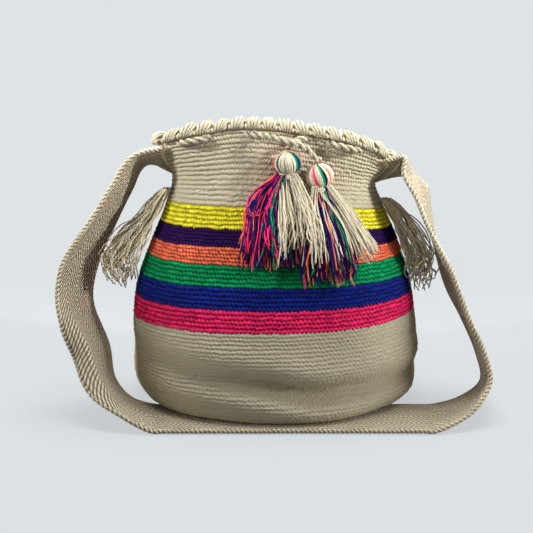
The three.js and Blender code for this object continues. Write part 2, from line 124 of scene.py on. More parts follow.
# The way of a shell's yarn: share of the shell's height, and place out from the wall's face.
SHELL_WAY = ((-0.1, 0.8), (0.35, 2.9), (0.78, 2.0), (1.0, -2.2), (0.8, -6.2), (0.35, -7.0), (0.0, -5.4))
RIM_RISE, RIM_RADIUS = 1.6, 2.6

# The drawstring's route.
CORD_DIAMETER = 6.5
CORD_DROP = 7
EYELET_PLAY = 0.5
FRONT_RUN_LEFT, FRONT_RUN_RIGHT = -77, 66
BACK_RUNS = (-66, -22, 22, 66)
HALF_RUN, CROSSING, CORD_STEP = 9, 13, 1.2
SHORT_END = ((25, 5, -5), (19, 9.5, -3), (14, 12.5, 0.5))
LONG_END = (
    (-14, 5, -8), (-6, 11, -8.5), (4, 16.5, -6.5), (14, 18.5, -4),
    (24, 18.5, -1), (31.5, 17.5, 3.5), (36, 16, 9.5),
)

# The strap's stations: out from the bag's side, depth, drop below the mouth, turn and dip in degrees.
STRAP_WIDTH, STRAP_THICKNESS, STRAP_PEEK, STRAP_LAP = 75, 5.5, 11.5, 45
SLOT_HEIGHT = 6.7
LEFT_RISER = (
    (0, -5, 24, 8, 32), (26, -6, 23, 4, 15), (48, -11, 50, 8, 13), (56, -18, 83, 17, 8),
    (62, -27, 122, 22, 14), (57, -38, 157, 20, 11), (34, -55, 198, 16, 13), (21.5, -70, 228, 8, 13),
    (8, -82, 248, 4, 8),
)
RIGHT_RISER = (
    (0, -5, 34, -11, 29), (22, -6, 29, -14, 24), (38, -8, 42, -24, 19), (40.5, -11, 62, -17, 18),
    (36.5, -15, 91, -11, 21), (38.5, -22, 140, -1, 22), (48, -30, 173, -3, 18), (61, -40, 207, -2, 17),
    (65, -52, 232, -1, 18), (52, -72, 250, 3, 9),
)
FLOOR_RUN = (-0.86, -0.78, -0.3, 0.3, 0.97, 1.05, 1.13)
# How far the strap's front edge rolls outwards: height and degrees. The roll starts at a share of the half
# width and bends over some millimetres.
STRAP_CURL = (
    (0, 0), (14, 6), (34, 62), (60, 84), (78, 52), (95, 14), (110, 3), (190, 3), (212, 12), (245, 14),
)
CURL_FROM, CURL_BEND = -0.5, 7
SEAM_PLAY = 1  # between the strap's ends and the crests of the wall's rounds
SEAM_STITCHES, SEAM_YARN = 24, 1.35
BAND_STEP, BAND_COLUMNS, PLAIT_SLOPE = 2.5, 31, 1.1
EDGE_STEP, EDGE_TURN = 0.9, 8.6

# The tassels: head place across and drop, then the skirt's levels (place across, drop, half width, half
# thickness).
HEAD_RADIUS = 12.5
NECK_RADIUS = 7.5
TASSEL_CLEARANCE = 1.6
TASSELS = {
    "left": {
        "head": (12.5, 16.5), "flat": 0.86, "tilt": 4, "seed": 11,
        "skirt": (
            (10, 40, 18, 11), (5.5, 61, 27, 13), (1, 85, 31.5, 14), (0, 105, 32, 13), (1, 115, 28, 11),
        ),
    },
    "right": {
        "head": (42.5, 29), "flat": 0.95, "tilt": 16, "seed": 23,
        "skirt": (
            (51, 54, 16.5, 11), (60, 75, 25, 13), (68, 92, 33, 14), (67, 112, 32, 13), (63, 129, 26, 11),
        ),
    },
}
# Bunches of yarn in each skirt: yarn counts, then (place across, height, half width) from neck to tips,
# the depth in the skirt from back (1) to front (-1), how wavy it is, and how uneven its ends are.
BUNCHES = {
    "left": (
        ({"blue": 50, "purple": 64, "orange": 38, "green": 20, "pink": 16, "cream": 14},
         ((11, 236, 6), (8, 223, 13), (6, 205, 20), (4, 180, 26), (5, 156, 28)), (-0.1, 0.95), 1.6, 9),
        ({"pink": 16, "purple": 34, "orange": 14, "blue": 28, "green": 6},
         ((7, 236, 5), (-2, 227, 6), (-10, 217, 8), (-17, 202, 9), (-19, 184, 9), (-22, 161, 9)),
         (-0.8, 0.4), 3.0, 12),
        ({"cream": 80},
         ((13, 237, 8), (15, 227, 12), (20, 207, 16), (23, 190, 20), (24, 172, 23)), (-1.0, -0.3), 2.5, 18),
        ({"pink": 9, "green": 6, "purple": 16, "blue": 9},
         ((8, 236, 4), (2, 224, 5), (-2, 209, 5), (-3, 192, 6), (-1, 170, 8)), (-1.1, -0.7), 2.4, 9),
        ({"pink": 3, "blue": 2, "orange": 1},
         ((5, 235, 2), (-9, 226, 2), (-21, 216, 3), (-25, 203, 2), (-17, 198, 3), (-11, 204, 2)),
         (-0.9, -0.2), 1.6, 2),
    ),
    "right": (
        ({"blue": 52, "orange": 34, "green": 20, "pink": 12, "purple": 30},
         ((43, 223, 6), (44, 211, 10), (45, 194, 12), (45, 170, 20), (48, 142, 23)), (-0.1, 0.95), 1.6, 9),
        ({"cream": 84},
         ((46, 225, 7), (52, 216, 9), (62, 203, 11), (74, 184, 12), (83, 166, 16)), (-0.95, 0.5), 1.4, 10),
        ({"green": 10, "blue": 24, "orange": 14, "purple": 12},
         ((44, 224, 5), (47, 213, 6), (52, 200, 7), (59, 180, 9), (67, 151, 12)), (-0.8, 0.1), 1.4, 8),
        ({"cream": 12},
         ((41, 225, 5), (40, 214, 6), (41, 200, 8), (46, 181, 11), (50, 161, 15)), (-1.1, -0.7), 1.6, 8),
        ({"purple": 52, "orange": 30, "blue": 18, "green": 8, "pink": 6},
         ((45, 223, 5), (46, 208, 9), (48, 188, 14), (50, 166, 21), (50, 146, 24)), (-0.75, 0.5), 2.6, 9),
    ),
}
# Coloured yarns over each head: degrees round it from its front, and the yarn.
HEAD_YARNS = {
    "left": (
        (-76, "pink"), (-66, "green"), (-56, "blue"), (35, "green"), (44, "blue"), (53, "purple"),
        (62, "green"), (71, "pink"), (80, "pink"),
    ),
    "right": (
        (-74, "green"), (-64, "pink"), (-30, "pink"), (3, "green"), (12, "blue"), (21, "purple"),
        (40, "orange"),
    ),
}
HEAD_STRANDS, HEAD_YARN = 40, 1.15
WRAP_YARN, WRAP_TURNS, WRAP_STATIONS = 0.85, 4, 130
STRAND_RADIUS, STRAND_STATIONS, STRAND_SIDES = 0.62, 15, 5
LOOSE_TWIST = 0.0022  # one turn of the tassels' and fringes' yarn, in metres

# The side fringes: out from the wall, depth, drop, half width and half thickness, from the knot to the tips.
SIDE_FRINGES = {
    "left": ((6.3, -14, 49, 4, 4), (12, -14, 59, 7, 6), (19, -18, 80, 10, 7.5), (23, -21, 93, 14, 8.5),
             (29.5, -25, 120, 17, 8.5), (22, -27, 136, 14, 7)),
    "right": ((6.3, -14, 59, 4, 4), (12, -14, 69, 8, 6), (16.5, -17, 80, 11, 7.5), (19, -22, 106, 14.5, 8.5),
              (17.5, -25, 124, 14.5, 8.5), (14, -28, 138, 11, 7)),
}
FRINGE_STRANDS, FRINGE_RADIUS = 60, 0.68
FRINGE_SEEDS = {"left": 31, "right": 47}

# The stage. The camera's place is in metres, its dip in degrees and its view in the photo's pixels.
BACKGROUND = (222, 227, 230)
CAMERA_PLACE, CAMERA_DIP = (0, -1.5, 0.516), 14.4
PHOTO_WIDTH, PHOTO_FOCAL, PHOTO_OFF_CENTRE, SENSOR_WIDTH = 533, 1560, 8, 36
# The floor fades into the background from near the bag to far from it, in metres, from a share of it to all.
FLOOR_NEAR, FLOOR_FAR, FLOOR_SHARE = 0.3, 0.7, 0.72
# Place, aim, size of the source, power, and for a spot the whole angle of its soft beam.
LIGHTS = (
    ("top_softbox", (0.05, 0.2, 1.6), (0, 0, 0.15), 1.0, 29, None),
    ("left_softbox", (-1.7, 0.0, 0.5), (0, 0, 0.1), 1.0, 15, None),
    ("right_softbox", (1.7, -0.4, 0.5), (0, 0, 0.1), 1.0, 18, None),
    ("left_neck_light", (-1.6, -0.8, 1.1), (-0.1, 0, 0.31), 0.12, 215, 12),
    ("right_neck_light", (1.6, -0.8, 1.1), (0.1, 0, 0.31), 0.12, 270, 12),
)


def linear(red, green, blue):
    """A colour as it looks on a screen, from 0 to 255, as the linear numbers that a shader takes."""
    shares = [value / 255 for value in (red, green, blue)]
    return tuple(s / 12.92 if s <= 0.04045 else ((s + 0.055) / 1.055) ** 2.4 for s in shares)


def smoothstep(value, low, high):
    share = np.clip((value - low) / (high - low), 0, 1)
    return share * share * (3 - 2 * share)


def unit(vectors):
    return vectors / np.linalg.norm(vectors, axis=-1, keepdims=True)


def distances(line):
    """How far each point lies along its line, for one line or many."""
    steps = np.linalg.norm(np.diff(line, axis=-2), axis=-1)
    return np.concatenate([np.zeros((*steps.shape[:-1], 1)), np.cumsum(steps, axis=-1)], axis=-1)


def resample(line, places, at):
    return np.stack([np.interp(at, places, line[:, axis]) for axis in range(3)], axis=1)


def station_values(stations, at):
    """Smooth values between stations, each a row that starts with its place."""
    rows = np.asarray(stations, float)
    place, values = rows[:, 0], rows[:, 1:]
    last = len(rows) - 1
    at = np.clip(np.asarray(at, float), place[0], place[-1])
    left = np.clip(np.searchsorted(place, at, side="right") - 1, 0, last - 1)
    right = left + 1
    before = np.where(left > 0, left - 1, right)
    after = np.where(right < last, right + 1, left)
    span = place[right] - place[left]
    lead = span / 2 / (place[left] - place[before])
    trail = span / 2 / (place[after] - place[right])
    p = (at - place[left]) / span
    shares = (
        -lead * p**3 + 2 * lead * p**2 - lead * p,
        (1 + lead) * p**3 + (-1.5 - 2 * lead) * p**2 + (-0.5 + lead) * p + 1,
        (-1 - trail) * p**3 + (1.5 + trail) * p**2 + 0.5 * p,
        trail * p**3 - trail * p**2,
    )
    return sum(s[..., None] * values[i] for s, i in zip(shares, (before, left, right, after)))


def outline_at(height):
    """The outer face's half width, half depth and squareness."""
    return np.moveaxis(station_values(BODY_OUTLINE, np.clip(height, 0, MOUTH_HEIGHT)), -1, 0)


def lift_at(x, y, height):
    crown = station_values(CROWN, x)[..., 0]
    return (crown - MOUTH_TILT * y - MOUTH_BOW * y**2) * smoothstep(height, CROWN_STARTS, MOUTH_HEIGHT)


def crease_at(x, y, height):
    line, depth = np.moveaxis(station_values(CREASE_LINE, x), -1, 0)
    off = (height - line) / CREASE_WIDTH
    swell = 1.3 * np.exp(-((off / 1.5 - 1.5) ** 2)) + np.exp(-((off + 2.1) ** 2))
    return depth * (np.exp(-(off**2)) - ROLL_SWELL * swell) * (1 - smoothstep(y, -CREASE_BACK, CREASE_BACK))


def wall_points(turn, height, out=0.0):
    """Points of the wall at a turn round the bag from its right side and a height, pushed out."""
    turn, height, out = np.broadcast_arrays(np.asarray(turn, float), height, out)
    half_width, half_depth, squareness = outline_at(height)
    across, deep = np.cos(turn), np.sin(turn)
    square = (np.abs(across) ** squareness + np.abs(deep) ** squareness) ** (-1 / squareness)
    push = out - crease_at(half_width * across * square, half_depth * deep * square, height)
    x = (half_width + push) * across * square
    y = (half_depth + push) * deep * square
    return np.stack([x, y, height + lift_at(x, y, height)], axis=-1)


def curve_share(along, half, squareness):
    return (1 - np.minimum(np.abs(along) / half, CURVE_END) ** squareness) ** (1 / squareness)


def side_at(side, y, level):
    """How far the wall's side lies from the middle, at a depth and a level."""
    half_width = outline_at(level)[0]
    half_width, half_depth, squareness = outline_at(level - lift_at(side * half_width, y, level))
    return half_width * curve_share(y, half_depth, squareness)


def front_at(x, height):
    """How far forward the wall's front lies."""
    half_width, half_depth, squareness = outline_at(height)
    return -half_depth * curve_share(x, half_width, squareness)


def even_turns(height, shares):
    """Turns round the bag at equal steps along a round, from the middle of the back."""
    fine = np.linspace(math.pi / 2, math.pi / 2 + 2 * math.pi, 1201)
    length = distances(wall_points(fine, height))
    return np.interp(np.mod(shares, 1) * length[-1], length, fine)


def smooth_line(points, at):
    """Points of a smooth line through some points, at places from 0 to 1 along its stations."""
    points = np.asarray(points, float)
    last = len(points) - 1
    padded = np.vstack([2 * points[0] - points[1], points, 2 * points[-1] - points[-2]])
    place = np.clip(np.asarray(at, float) * last, 0, last)
    step = np.minimum(place.astype(int), last - 1)
    w = (place - step)[:, None]
    p0, p1, p2, p3 = (padded[step + i] for i in range(4))
    d0, d1, d2 = (np.linalg.norm(b - a, axis=1)[:, None] ** 0.5 for a, b in ((p0, p1), (p1, p2), (p2, p3)))
    t1 = ((p1 - p0) / d0 - (p2 - p0) / (d0 + d1) + (p2 - p1) / d1) * d1
    t2 = ((p2 - p1) / d1 - (p3 - p1) / (d1 + d2) + (p3 - p2) / d2) * d1
    return (
        p1 + t1 * w + (-3 * p1 + 3 * p2 - 2 * t1 - t2) * w**2 + (2 * p1 - 2 * p2 + t1 + t2) * w**3
    )


def even_line(points, step):
    """A smooth line through some points, with equal steps along it."""
    line = smooth_line(points, np.linspace(0, 1, 80 * len(points)))
    length = distances(line)
    return resample(line, length, np.linspace(0, length[-1], max(2, round(length[-1] / step) + 1)))


def new_piece(name, points, faces, uv, hollow=0.0, tone=0.5):
    """A mesh object from points in millimetres, arrays of faces and a place on the yarn for each corner.
    Each point is marked with how deep it lies between the yarns, which the materials darken as painted shade,
    and with its own yarn's tone."""
    mesh = bpy.data.meshes.new(name)
    sizes = np.concatenate([np.full(len(rows), rows.shape[1]) for rows in faces])
    corners = np.concatenate([rows.ravel() for rows in faces])
    mesh.vertices.add(len(points))
    mesh.vertices.foreach_set("co", (np.asarray(points) * MM).astype(np.float32).ravel())
    mesh.loops.add(len(corners))
    mesh.loops.foreach_set("vertex_index", corners.astype(np.int32))
    mesh.polygons.add(len(sizes))
    mesh.polygons.foreach_set("loop_start", (np.cumsum(sizes) - sizes).astype(np.int32))
    mesh.polygons.foreach_set("use_smooth", np.ones(len(sizes), dtype=bool))
    mesh.update(calc_edges=True)
    mesh.uv_layers.new(name="yarn").data.foreach_set("uv", np.asarray(uv, np.float32).ravel())
    for mark, values in (("hollow", hollow), ("tone", tone)):
        layer = mesh.attributes.new(name=mark, type="FLOAT", domain="POINT")
        layer.data.foreach_set("value", np.broadcast_to(values, len(points)).astype(np.float32))
    mesh.validate()
    piece = bpy.data.objects.new(name, mesh)
    bpy.context.collection.objects.link(piece)
    return piece


def grid_faces(rows, columns, closed_rows=False):
    """Faces of a grid of points that closes round its columns, and the corners' places in an open grid."""
    i = np.arange(rows if closed_rows else rows - 1)[:, None]
    j = np.arange(columns)[None, :]
    made = []
    for wide, up, on in ((columns, (i + 1) % rows, (j + 1) % columns), (columns + 1, i + 1, j + 1)):
        faces = np.stack([i * wide + j, i * wide + on, up * wide + on, up * wide + j], axis=-1)
        made.append(faces.reshape(-1, 4))
    return made


def tube_parts(paths, radius, sides, around_times=1):
    """Round tubes along paths (tube, station, place), with their ends closed."""
    paths = np.asarray(paths, float)
    tubes, stations = paths.shape[:2]
    along = unit(np.gradient(paths, axis=1))
    normal = np.cross(along[:, 0], [0.31, 0.95, 0.05])
    normals = np.empty_like(paths)
    for k in range(stations):
        normal = unit(normal - (normal * along[:, k]).sum(1, keepdims=True) * along[:, k])
        normals[:, k] = normal
    across = np.cross(along, normals)
    turn = np.arange(sides) / sides * 2 * math.pi
    radius = np.broadcast_to(radius, (tubes, stations, sides))[..., None]
    rings = paths[:, :, None] + radius * (
        np.cos(turn)[:, None] * normals[:, :, None] + np.sin(turn)[:, None] * across[:, :, None]
    )
    faces, corners = grid_faces(stations, sides)
    per_tube = stations * sides
    starts = np.arange(tubes)[:, None, None] * per_tube
    ring = np.arange(sides)
    caps = np.stack([ring[::-1], ring + per_tube - sides])
    ends = (caps + starts).reshape(-1, sides)
    around = np.arange(sides + 1) / sides * around_times
    places = np.stack(np.broadcast_arrays(distances(paths)[:, :, None] * MM, around), axis=-1)
    uv = np.concatenate([places.reshape(tubes, -1, 2)[:, corners].reshape(-1, 2), np.zeros((ends.size, 2))])
    return rings.reshape(-1, 3), ((faces + starts).reshape(-1, 4), ends), uv


def finish_piece(piece, material, slot, *nodes):
    piece.data.materials.append(material)
    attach(piece, "root")
    if nodes:
        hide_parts(*nodes)
    return piece


def join_parts(parts):
    """One set of points, faces and places from several tube sets, with each end as a fan of triangles."""
    points, walls, ends, places = [], [], [], []
    count = 0
    for some, (wall, end), uv in parts:
        fan = np.stack([end[:, [0, k, k + 1]] for k in range(1, end.shape[1] - 1)], axis=1).reshape(-1, 3)
        points.append(some)
        walls.append(wall + count)
        ends.append(fan + count)
        places.append(uv[: wall.size])
        count += len(some)
    ends = np.concatenate(ends)
    places.append(np.zeros((ends.size, 2)))
    return np.concatenate(points), (np.concatenate(walls), ends), np.concatenate(places)


def node_maker(tree):
    def make(kind, inputs=None, **settings):
        node = tree.nodes.new(kind)
        for key, value in settings.items():
            setattr(node, key, value)
        for key, value in (inputs or {}).items():
            if isinstance(value, bpy.types.NodeSocket):
                tree.links.new(value, node.inputs[key])
            else:
                node.inputs[key].default_value = value
        return node

    def math_node(operation, a, b=0.0, c=0.0):
        return make("ShaderNodeMath", {0: a, 1: b, 2: c}, operation=operation).outputs[0]

    return make, math_node


def new_group(name, inputs, outputs):
    """A node group, from its inputs' first values. What is called Colour is one, and the rest are numbers."""
    group = bpy.data.node_groups.new(name, "ShaderNodeTree")

    def socket(label, way):
        kind = "NodeSocketColor" if label == "Colour" else "NodeSocketFloat"
        return group.interface.new_socket(label, in_out=way, socket_type=kind)

    for label, value in inputs.items():
        socket(label, "INPUT").default_value = value
    for label in outputs:
        socket(label, "OUTPUT")
    return group, group.nodes.new("NodeGroupInput").outputs, group.nodes.new("NodeGroupOutput").inputs


def new_material(name):
    """A material, its tree, the makers of its nodes and its Principled BSDF."""
    material = bpy.data.materials.new(name)
    material.use_nodes = True
    tree = material.node_tree
    return material, tree, *node_maker(tree), tree.nodes["Principled BSDF"]


def spun_cotton_group():
    """Colour, roughness and height of soft spun cotton: its twist and its fluff, with painted shade between
    the yarns and in the grooves of the twist.
    """
    if "spun_cotton" in bpy.data.node_groups:
        return bpy.data.node_groups["spun_cotton"]
    group, given, put = new_group(
        "spun_cotton",
        {
            "Colour": (0.5, 0.5, 0.5, 1), "Hollow": 0.0, "Tone": 0.5, "Along": 0.0, "Around": 0.0,
            "Twist": 0.003, "Dark": 0.45,
        },
        ("Colour", "Roughness", "Height"),
    )
    make, calc = node_maker(group)
    place = make("ShaderNodeTexCoord").outputs["Object"]
    mottle, fluff, patches = (
        make("ShaderNodeTexNoise", {"Vector": place, "Scale": scale, "Detail": detail}).outputs["Fac"]
        for scale, detail in ((420.0, 3.0), (1500.0, 2.0), (22.0, 2.0))
    )
    turns = calc("ADD", calc("DIVIDE", given["Along"], given["Twist"]), given["Around"])
    ply = calc("ABSOLUTE", calc("SINE", calc("MULTIPLY", turns, math.pi)))
    mottle_and_ply_shade = calc("MULTIPLY_ADD", mottle, 0.5, 0.76)
    # What else makes the yarn paler or darker, how much it does so, and the least share that it leaves. Fluff
    # and patches vary it at random and Tone is each yarn's own; the ply's share is painted shade in the
    # grooves of its twist.
    for source, much, least in (
        (fluff, 0.2, 0.9), (patches, 0.3, 0.85), (given["Tone"], 0.4, 0.8), (ply, 0.16, 0.88),
    ):
        mottle_and_ply_shade = calc("MULTIPLY", mottle_and_ply_shade, calc("MULTIPLY_ADD", source, much, least))
    # Painted shade between the yarns: the deeper a point lies, the more its colour goes over to the yarn's
    # colour squared and scaled down, which stands in for the shadow there and for the light that the yarns
    # bounce onto each other.
    deep = calc("POWER", given["Hollow"], 1.2)
    own = make(
        "ShaderNodeMix", {"Factor": 1.0, 6: given["Colour"], 7: given["Colour"]}, data_type="RGBA",
        blend_type="MULTIPLY",
    ).outputs["Result"]
    hollow_shade = make("ShaderNodeVectorMath", {0: own, "Scale": given["Dark"]}, operation="SCALE").outputs[0]
    with_painted_shade = make("ShaderNodeMix", {0: deep, 6: given["Colour"], 7: hollow_shade}, data_type="RGBA").outputs["Result"]
    lit = make("ShaderNodeVectorMath", {0: with_painted_shade, "Scale": mottle_and_ply_shade}, operation="SCALE").outputs[0]
    group.links.new(lit, put["Colour"])
    group.links.new(calc("MULTIPLY_ADD", fluff, 0.12, 0.82), put["Roughness"])
    group.links.new(calc("ADD", calc("MULTIPLY", ply, 0.6), calc("MULTIPLY", fluff, 0.4)), put["Height"])
    return group


def wear(tree, make, surface, spun, height, bump):
    """Gives a surface the spun cotton of a group, with bumps of a height."""
    bumps = make("ShaderNodeBump", {"Strength": 1.0, "Distance": bump, "Height": height}).outputs[0]
    made = {"Base Color": spun["Colour"], "Roughness": spun["Roughness"], "Normal": bumps}
    for label, socket in made.items():
        tree.links.new(socket, surface.inputs[label])
    surface.inputs["Specular IOR Level"].default_value = 0.08
    surface.inputs["Sheen Weight"].default_value = 0.05
    surface.inputs["Sheen Roughness"].default_value = 0.5


def cotton(name, colour, twist=0.003, hollow_shade=0.06, bump=0.00025):
    """A matt cotton yarn. The mesh's own marks give each yarn's tone and how much painted shade falls in the
    hollows between yarns.
    """
    if name in bpy.data.materials:
        return bpy.data.materials[name]
    material, tree, make, _, surface = new_material(name)
    place = make("ShaderNodeSeparateXYZ", {0: make("ShaderNodeUVMap", uv_map="yarn").outputs[0]}).outputs
    given = {"Colour": (*colour, 1), "Twist": twist, "Dark": hollow_shade, "Along": place[0], "Around": place[1]}
    for label, mark in (("Hollow", "hollow"), ("Tone", "tone")):
        given[label] = make("ShaderNodeAttribute", attribute_name=mark).outputs["Fac"]
    spun = make("ShaderNodeGroup", given, node_tree=spun_cotton_group()).outputs
    wear(tree, make, surface, spun, spun["Height"], bump)
    return material


def strap_cotton(name, colour, column, row, slope, quarter):
    """The strap's plait: columns of short slanted stitches that turn back at its middle and quarters."""
    material, tree, make, calc, surface = new_material(name)
    place = make("ShaderNodeSeparateXYZ", {0: make("ShaderNodeUVMap", uv_map="yarn").outputs[0]}).outputs
    across = calc("ABSOLUTE", calc("SUBTRACT", calc("ABSOLUTE", place[1]), quarter))
    cell = calc("FRACT", calc("DIVIDE", across, column))
    edge = calc("ABSOLUTE", calc("MULTIPLY_ADD", cell, 2.0, -1.0))
    line = calc("ADD", calc("DIVIDE", place[0], row), calc("DIVIDE", calc("MULTIPLY", across, -slope), row))
    lean = calc("ABSOLUTE", calc("MULTIPLY_ADD", calc("FRACT", line), 2.0, -1.0))
    rib = calc("SUBTRACT", 1.0, calc("POWER", lean, 2.0))
    bar = calc("SUBTRACT", 1.0, calc("POWER", edge, 4.0))
    stitch = calc("MULTIPLY", rib, calc("MULTIPLY_ADD", bar, 0.55, 0.45))
    # The gaps between the plait's stitches are marked hollow, and the yarn group darkens them with painted
    # shade.
    hollow = calc("SUBTRACT", 1.0, stitch)
    given = {"Colour": (*colour, 1), "Twist": 0.0025, "Dark": 0.03, "Hollow": hollow, "Along": place[0]}
    spun = make("ShaderNodeGroup", given, node_tree=spun_cotton_group()).outputs
    wear(tree, make, surface, spun, calc("MULTIPLY_ADD", spun["Height"], 0.15, stitch), 0.0022)
    return material


def colour_setting(label, what, rgb):
    return bpy.props.FloatVectorProperty(
        name=label, description=what, subtype="COLOR", size=3, min=0, max=1, default=linear(*rgb)
    )


def length_setting(label, what, millimetres):
    return bpy.props.FloatProperty(
        name=label, description=what, unit="LENGTH", subtype="DISTANCE", min=0, default=millimetres * MM
    )


class BAG_PG_yarns(bpy.types.PropertyGroup):
    """The colours of the bag's yarns"""

    natural: colour_setting("Natural", "Undyed cotton of the base, the neck and the edging", (240, 230, 198))
    pink: colour_setting("Pink", "Lowest stripe", (255, 46, 112))
    blue: colour_setting("Blue", "Second stripe", (18, 38, 134))
    green: colour_setting("Green", "Third stripe", (2, 154, 92))
    orange: colour_setting("Orange", "Fourth stripe", (255, 124, 88))
    purple: colour_setting("Purple", "Fifth stripe", (50, 16, 84))
    yellow: colour_setting("Yellow", "Highest stripe", (250, 238, 58))
    strap: colour_setting("Strap", "Woven cotton of the strap", (246, 231, 200))
    cord: colour_setting("Cord", "Twisted cotton of the drawstring", (206, 195, 169))
    cream: colour_setting("Cream", "Pale yarn of the tassels", (216, 206, 181))
    fringe: colour_setting("Fringe", "Yarn ends at the strap's seams", (232, 220, 192))


class BAG_PG_crochet(bpy.types.PropertyGroup):
    """The stitches of the bag's wall"""

    stitches: bpy.props.IntProperty(
        name="Stitches", description="Stitches in one round", min=60, max=240, default=184
    )
    relief: length_setting("Relief", "How far a stitch stands out of the groove beside it", 1.9)
    shells: bpy.props.IntProperty(
        name="Shells", description="Shells of the edging round the mouth", min=12, max=60, default=36
    )
    shell_radius: length_setting("Shell radius", "Size of one shell of the edging", 9.5)
    shell_yarn: length_setting("Shell yarn", "Radius of the yarn that the shells are worked in", 1.3)


class BAG_PG_strap(bpy.types.PropertyGroup):
    """The plait of the strap"""

    column: length_setting("Column", "Width of one column of stitches across the strap", 5.0)
    row: length_setting("Row", "Distance between two stitches along the strap", 4.8)
    edge: length_setting("Edge", "Radius of the twisted yarn along each edge", 2.5)


class BAG_PG_cord(bpy.types.PropertyGroup):
    """The twist of the drawstring"""

    diameter: length_setting("Diameter", "Thickness of the drawstring", CORD_DIAMETER)
    turn: length_setting("Turn", "Length of one full turn of its two plies", 17)


class PieceOperator:
    """What every operator of the bag shares"""

    bl_options = {"REGISTER", "UNDO"}


def slump(points):
    """The soft dents of a filled crochet wall, which break its even shape by about a millimetre."""
    x, y, z = points[..., 0], points[..., 1], points[..., 2]
    turn = np.arctan2(y, x)
    return (
        0.8 * np.sin(3 * turn + z / 37 + 0.6)
        + 0.6 * np.sin(5 * turn - z / 23 + 2.1)
        + 0.4 * np.sin(9 * turn + z / 17 + 4.0)
    )


def strap_back():
    """Where the strap's back edge lies under the bag."""
    return front_at(0, CORNER_HEIGHT) - STRAP_PEEK + STRAP_WIDTH


def strap_rise(y, slope):
    """How high the strap lifts what lies on it, with a slope down behind it."""
    return SLOT_HEIGHT * (1 - smoothstep(y, strap_back(), strap_back() + slope))


def over_strap(points):
    """Lifts what would cut into the strap under the base's front."""
    points[..., 2] = np.maximum(points[..., 2], strap_rise(points[..., 1], 6))
    return points


def row_wander(count, turned, stitches):
    """How far a line between two rounds strays from its level: by hand no two stitches come out alike."""
    place = np.mod(turned, stitches)
    lines = []
    for line in (math.floor(count), math.floor(count) + 1):
        strays = np.random.default_rng(100 + line).normal(0, ROW_WANDER, stitches)
        lines.append(np.interp(place, np.arange(stitches + 1), np.append(strays, strays[0])))
    part = count - math.floor(count)
    return lines[0] * (1 - part) + lines[1] * part


def crochet_band(first_round, rounds, low, high, stitches, relief):
    """One stripe of the wall as a closed ring: its stitches outside and a plain skin inside."""
    columns = stitches * SAMPLES_PER_STITCH
    shares = np.arange(columns) / columns
    samples, power = SAMPLES_PER_ROUND, GROOVE_POWER
    if rounds >= TALL_STRIPE:
        samples, power = TALL_SAMPLES, TALL_GROOVE_POWER
    outer = np.linspace(0, rounds, rounds * samples + 1)
    inner = np.linspace(rounds, 0, max(2, rounds // 3) + 1)
    points, hollows, places, tones = [], [], [], []
    rng = np.random.default_rng(first_round + 1)
    own = rng.normal(0.5, TONE_SPREAD, (rounds + 1, stitches + 1)).clip(-0.35, 1.35)
    loose = rng.normal(0, LOOSE_SPREAD, (rounds + 1, stitches + 1)).clip(-1, 1)
    for count, outside in [(v, True) for v in outer] + [(v, False) for v in inner]:
        level = low + (high - low) * count / rounds
        above_floor = smoothstep(level, 0, CORNER_HEIGHT)
        turned = shares * stitches - STITCH_LEAN * (first_round + count)
        part = np.mod(turned, 1)
        stitch = np.floor(turned).astype(int) % stitches
        gap = np.abs(2 * part - 1)
        peak = np.minimum(part / STITCH_PEAK, (1 - part) / (1 - STITCH_PEAK))
        wobble = STITCH_WOBBLE * (peak * 2 - 1) * above_floor
        groove = abs(2 * (count % 1) - 1) ** power if outside else 0.5
        cell = (1 - groove * (0.85 + 0.15 * gap**2)) * (1 - 0.22 * gap**4)
        out = -BAG_WALL
        if outside:
            out = relief * (cell - 0.6) + loose[int(count), stitch] * cell * relief * LOOSE_SHARE
        turns = even_turns(level, shares)
        plain = wall_points(turns, level)
        climbs = station_values(ROUND_CLIMB, level)
        climb = np.where(plain[:, 0] > 0, climbs[1], climbs[0]) * (plain[:, 0] / CLIMB_REACH) ** 2
        wander = row_wander(first_round + count, turned, stitches) * above_floor
        heights = np.clip(level + wobble + climb + wander, 0, None)
        points.append(over_strap(wall_points(turns, heights, out + slump(plain))))
        # The hollow mark puts painted shade in the grooves between stitches and rounds; the plain skin inside
        # gets a middle share of it.
        hollows.append(1 - cell if outside else np.full(columns, 0.5))
        tones.append(own[int(count), stitch] if outside else np.full(columns, 0.5))
        around = np.append(turned, turned[0] + stitches)
        places.append(np.stack([np.full(columns + 1, level * MM), around], axis=1))
    return points, hollows, places, tones


def crochet_base(stitches, relief):
    """The base: rounds out from its middle, with a plain floor inside."""
    turns = even_turns(0, np.arange(stitches) / stitches)
    points, hollows, places = [], [], []

    def add_ring(ring, hollow, place):
        points.append(ring)
        hollows.append(np.full(stitches, hollow))
        places.append(np.stack([np.full(stitches + 1, place), np.arange(stitches + 1)], axis=1))

    for count in np.arange(BASE_ROUNDS * BASE_SAMPLES + 1) / BASE_SAMPLES:
        # The grooves between the base's rounds sink, and the hollow mark gives them painted shade.
        hollow = abs(2 * (count % 1) - 1) ** 2.4
        share = max(BASE_HOLE, count / BASE_ROUNDS)
        ring = wall_points(turns, 0) * [share, share, 1]
        ring[:, 2] = relief * 0.5 * hollow
        add_ring(over_strap(ring), hollow, count * 4.6 * MM)
    # The plain floor inside gets a middle share of painted shade.
    for share in np.linspace(1, 0, 9).clip(BASE_HOLE):
        ring = wall_points(turns, 0, -2) * [share, share, 1]
        ring[:, 2] = BAG_WALL + strap_rise(ring[:, 1], 30)
        add_ring(ring, 0.5, share * 0.1)
    return points, hollows, places


def ring_piece(name, points, hollows, places, tones=0.5):
    """A piece from rings of points, the last of which meets the first."""
    faces, corners = grid_faces(len(points), len(points[0]), closed_rows=True)
    uv = np.concatenate([*places, places[-1]])[corners.ravel()]
    return new_piece(name, np.concatenate(points), (faces,), uv, np.ravel(hollows), np.ravel(tones))


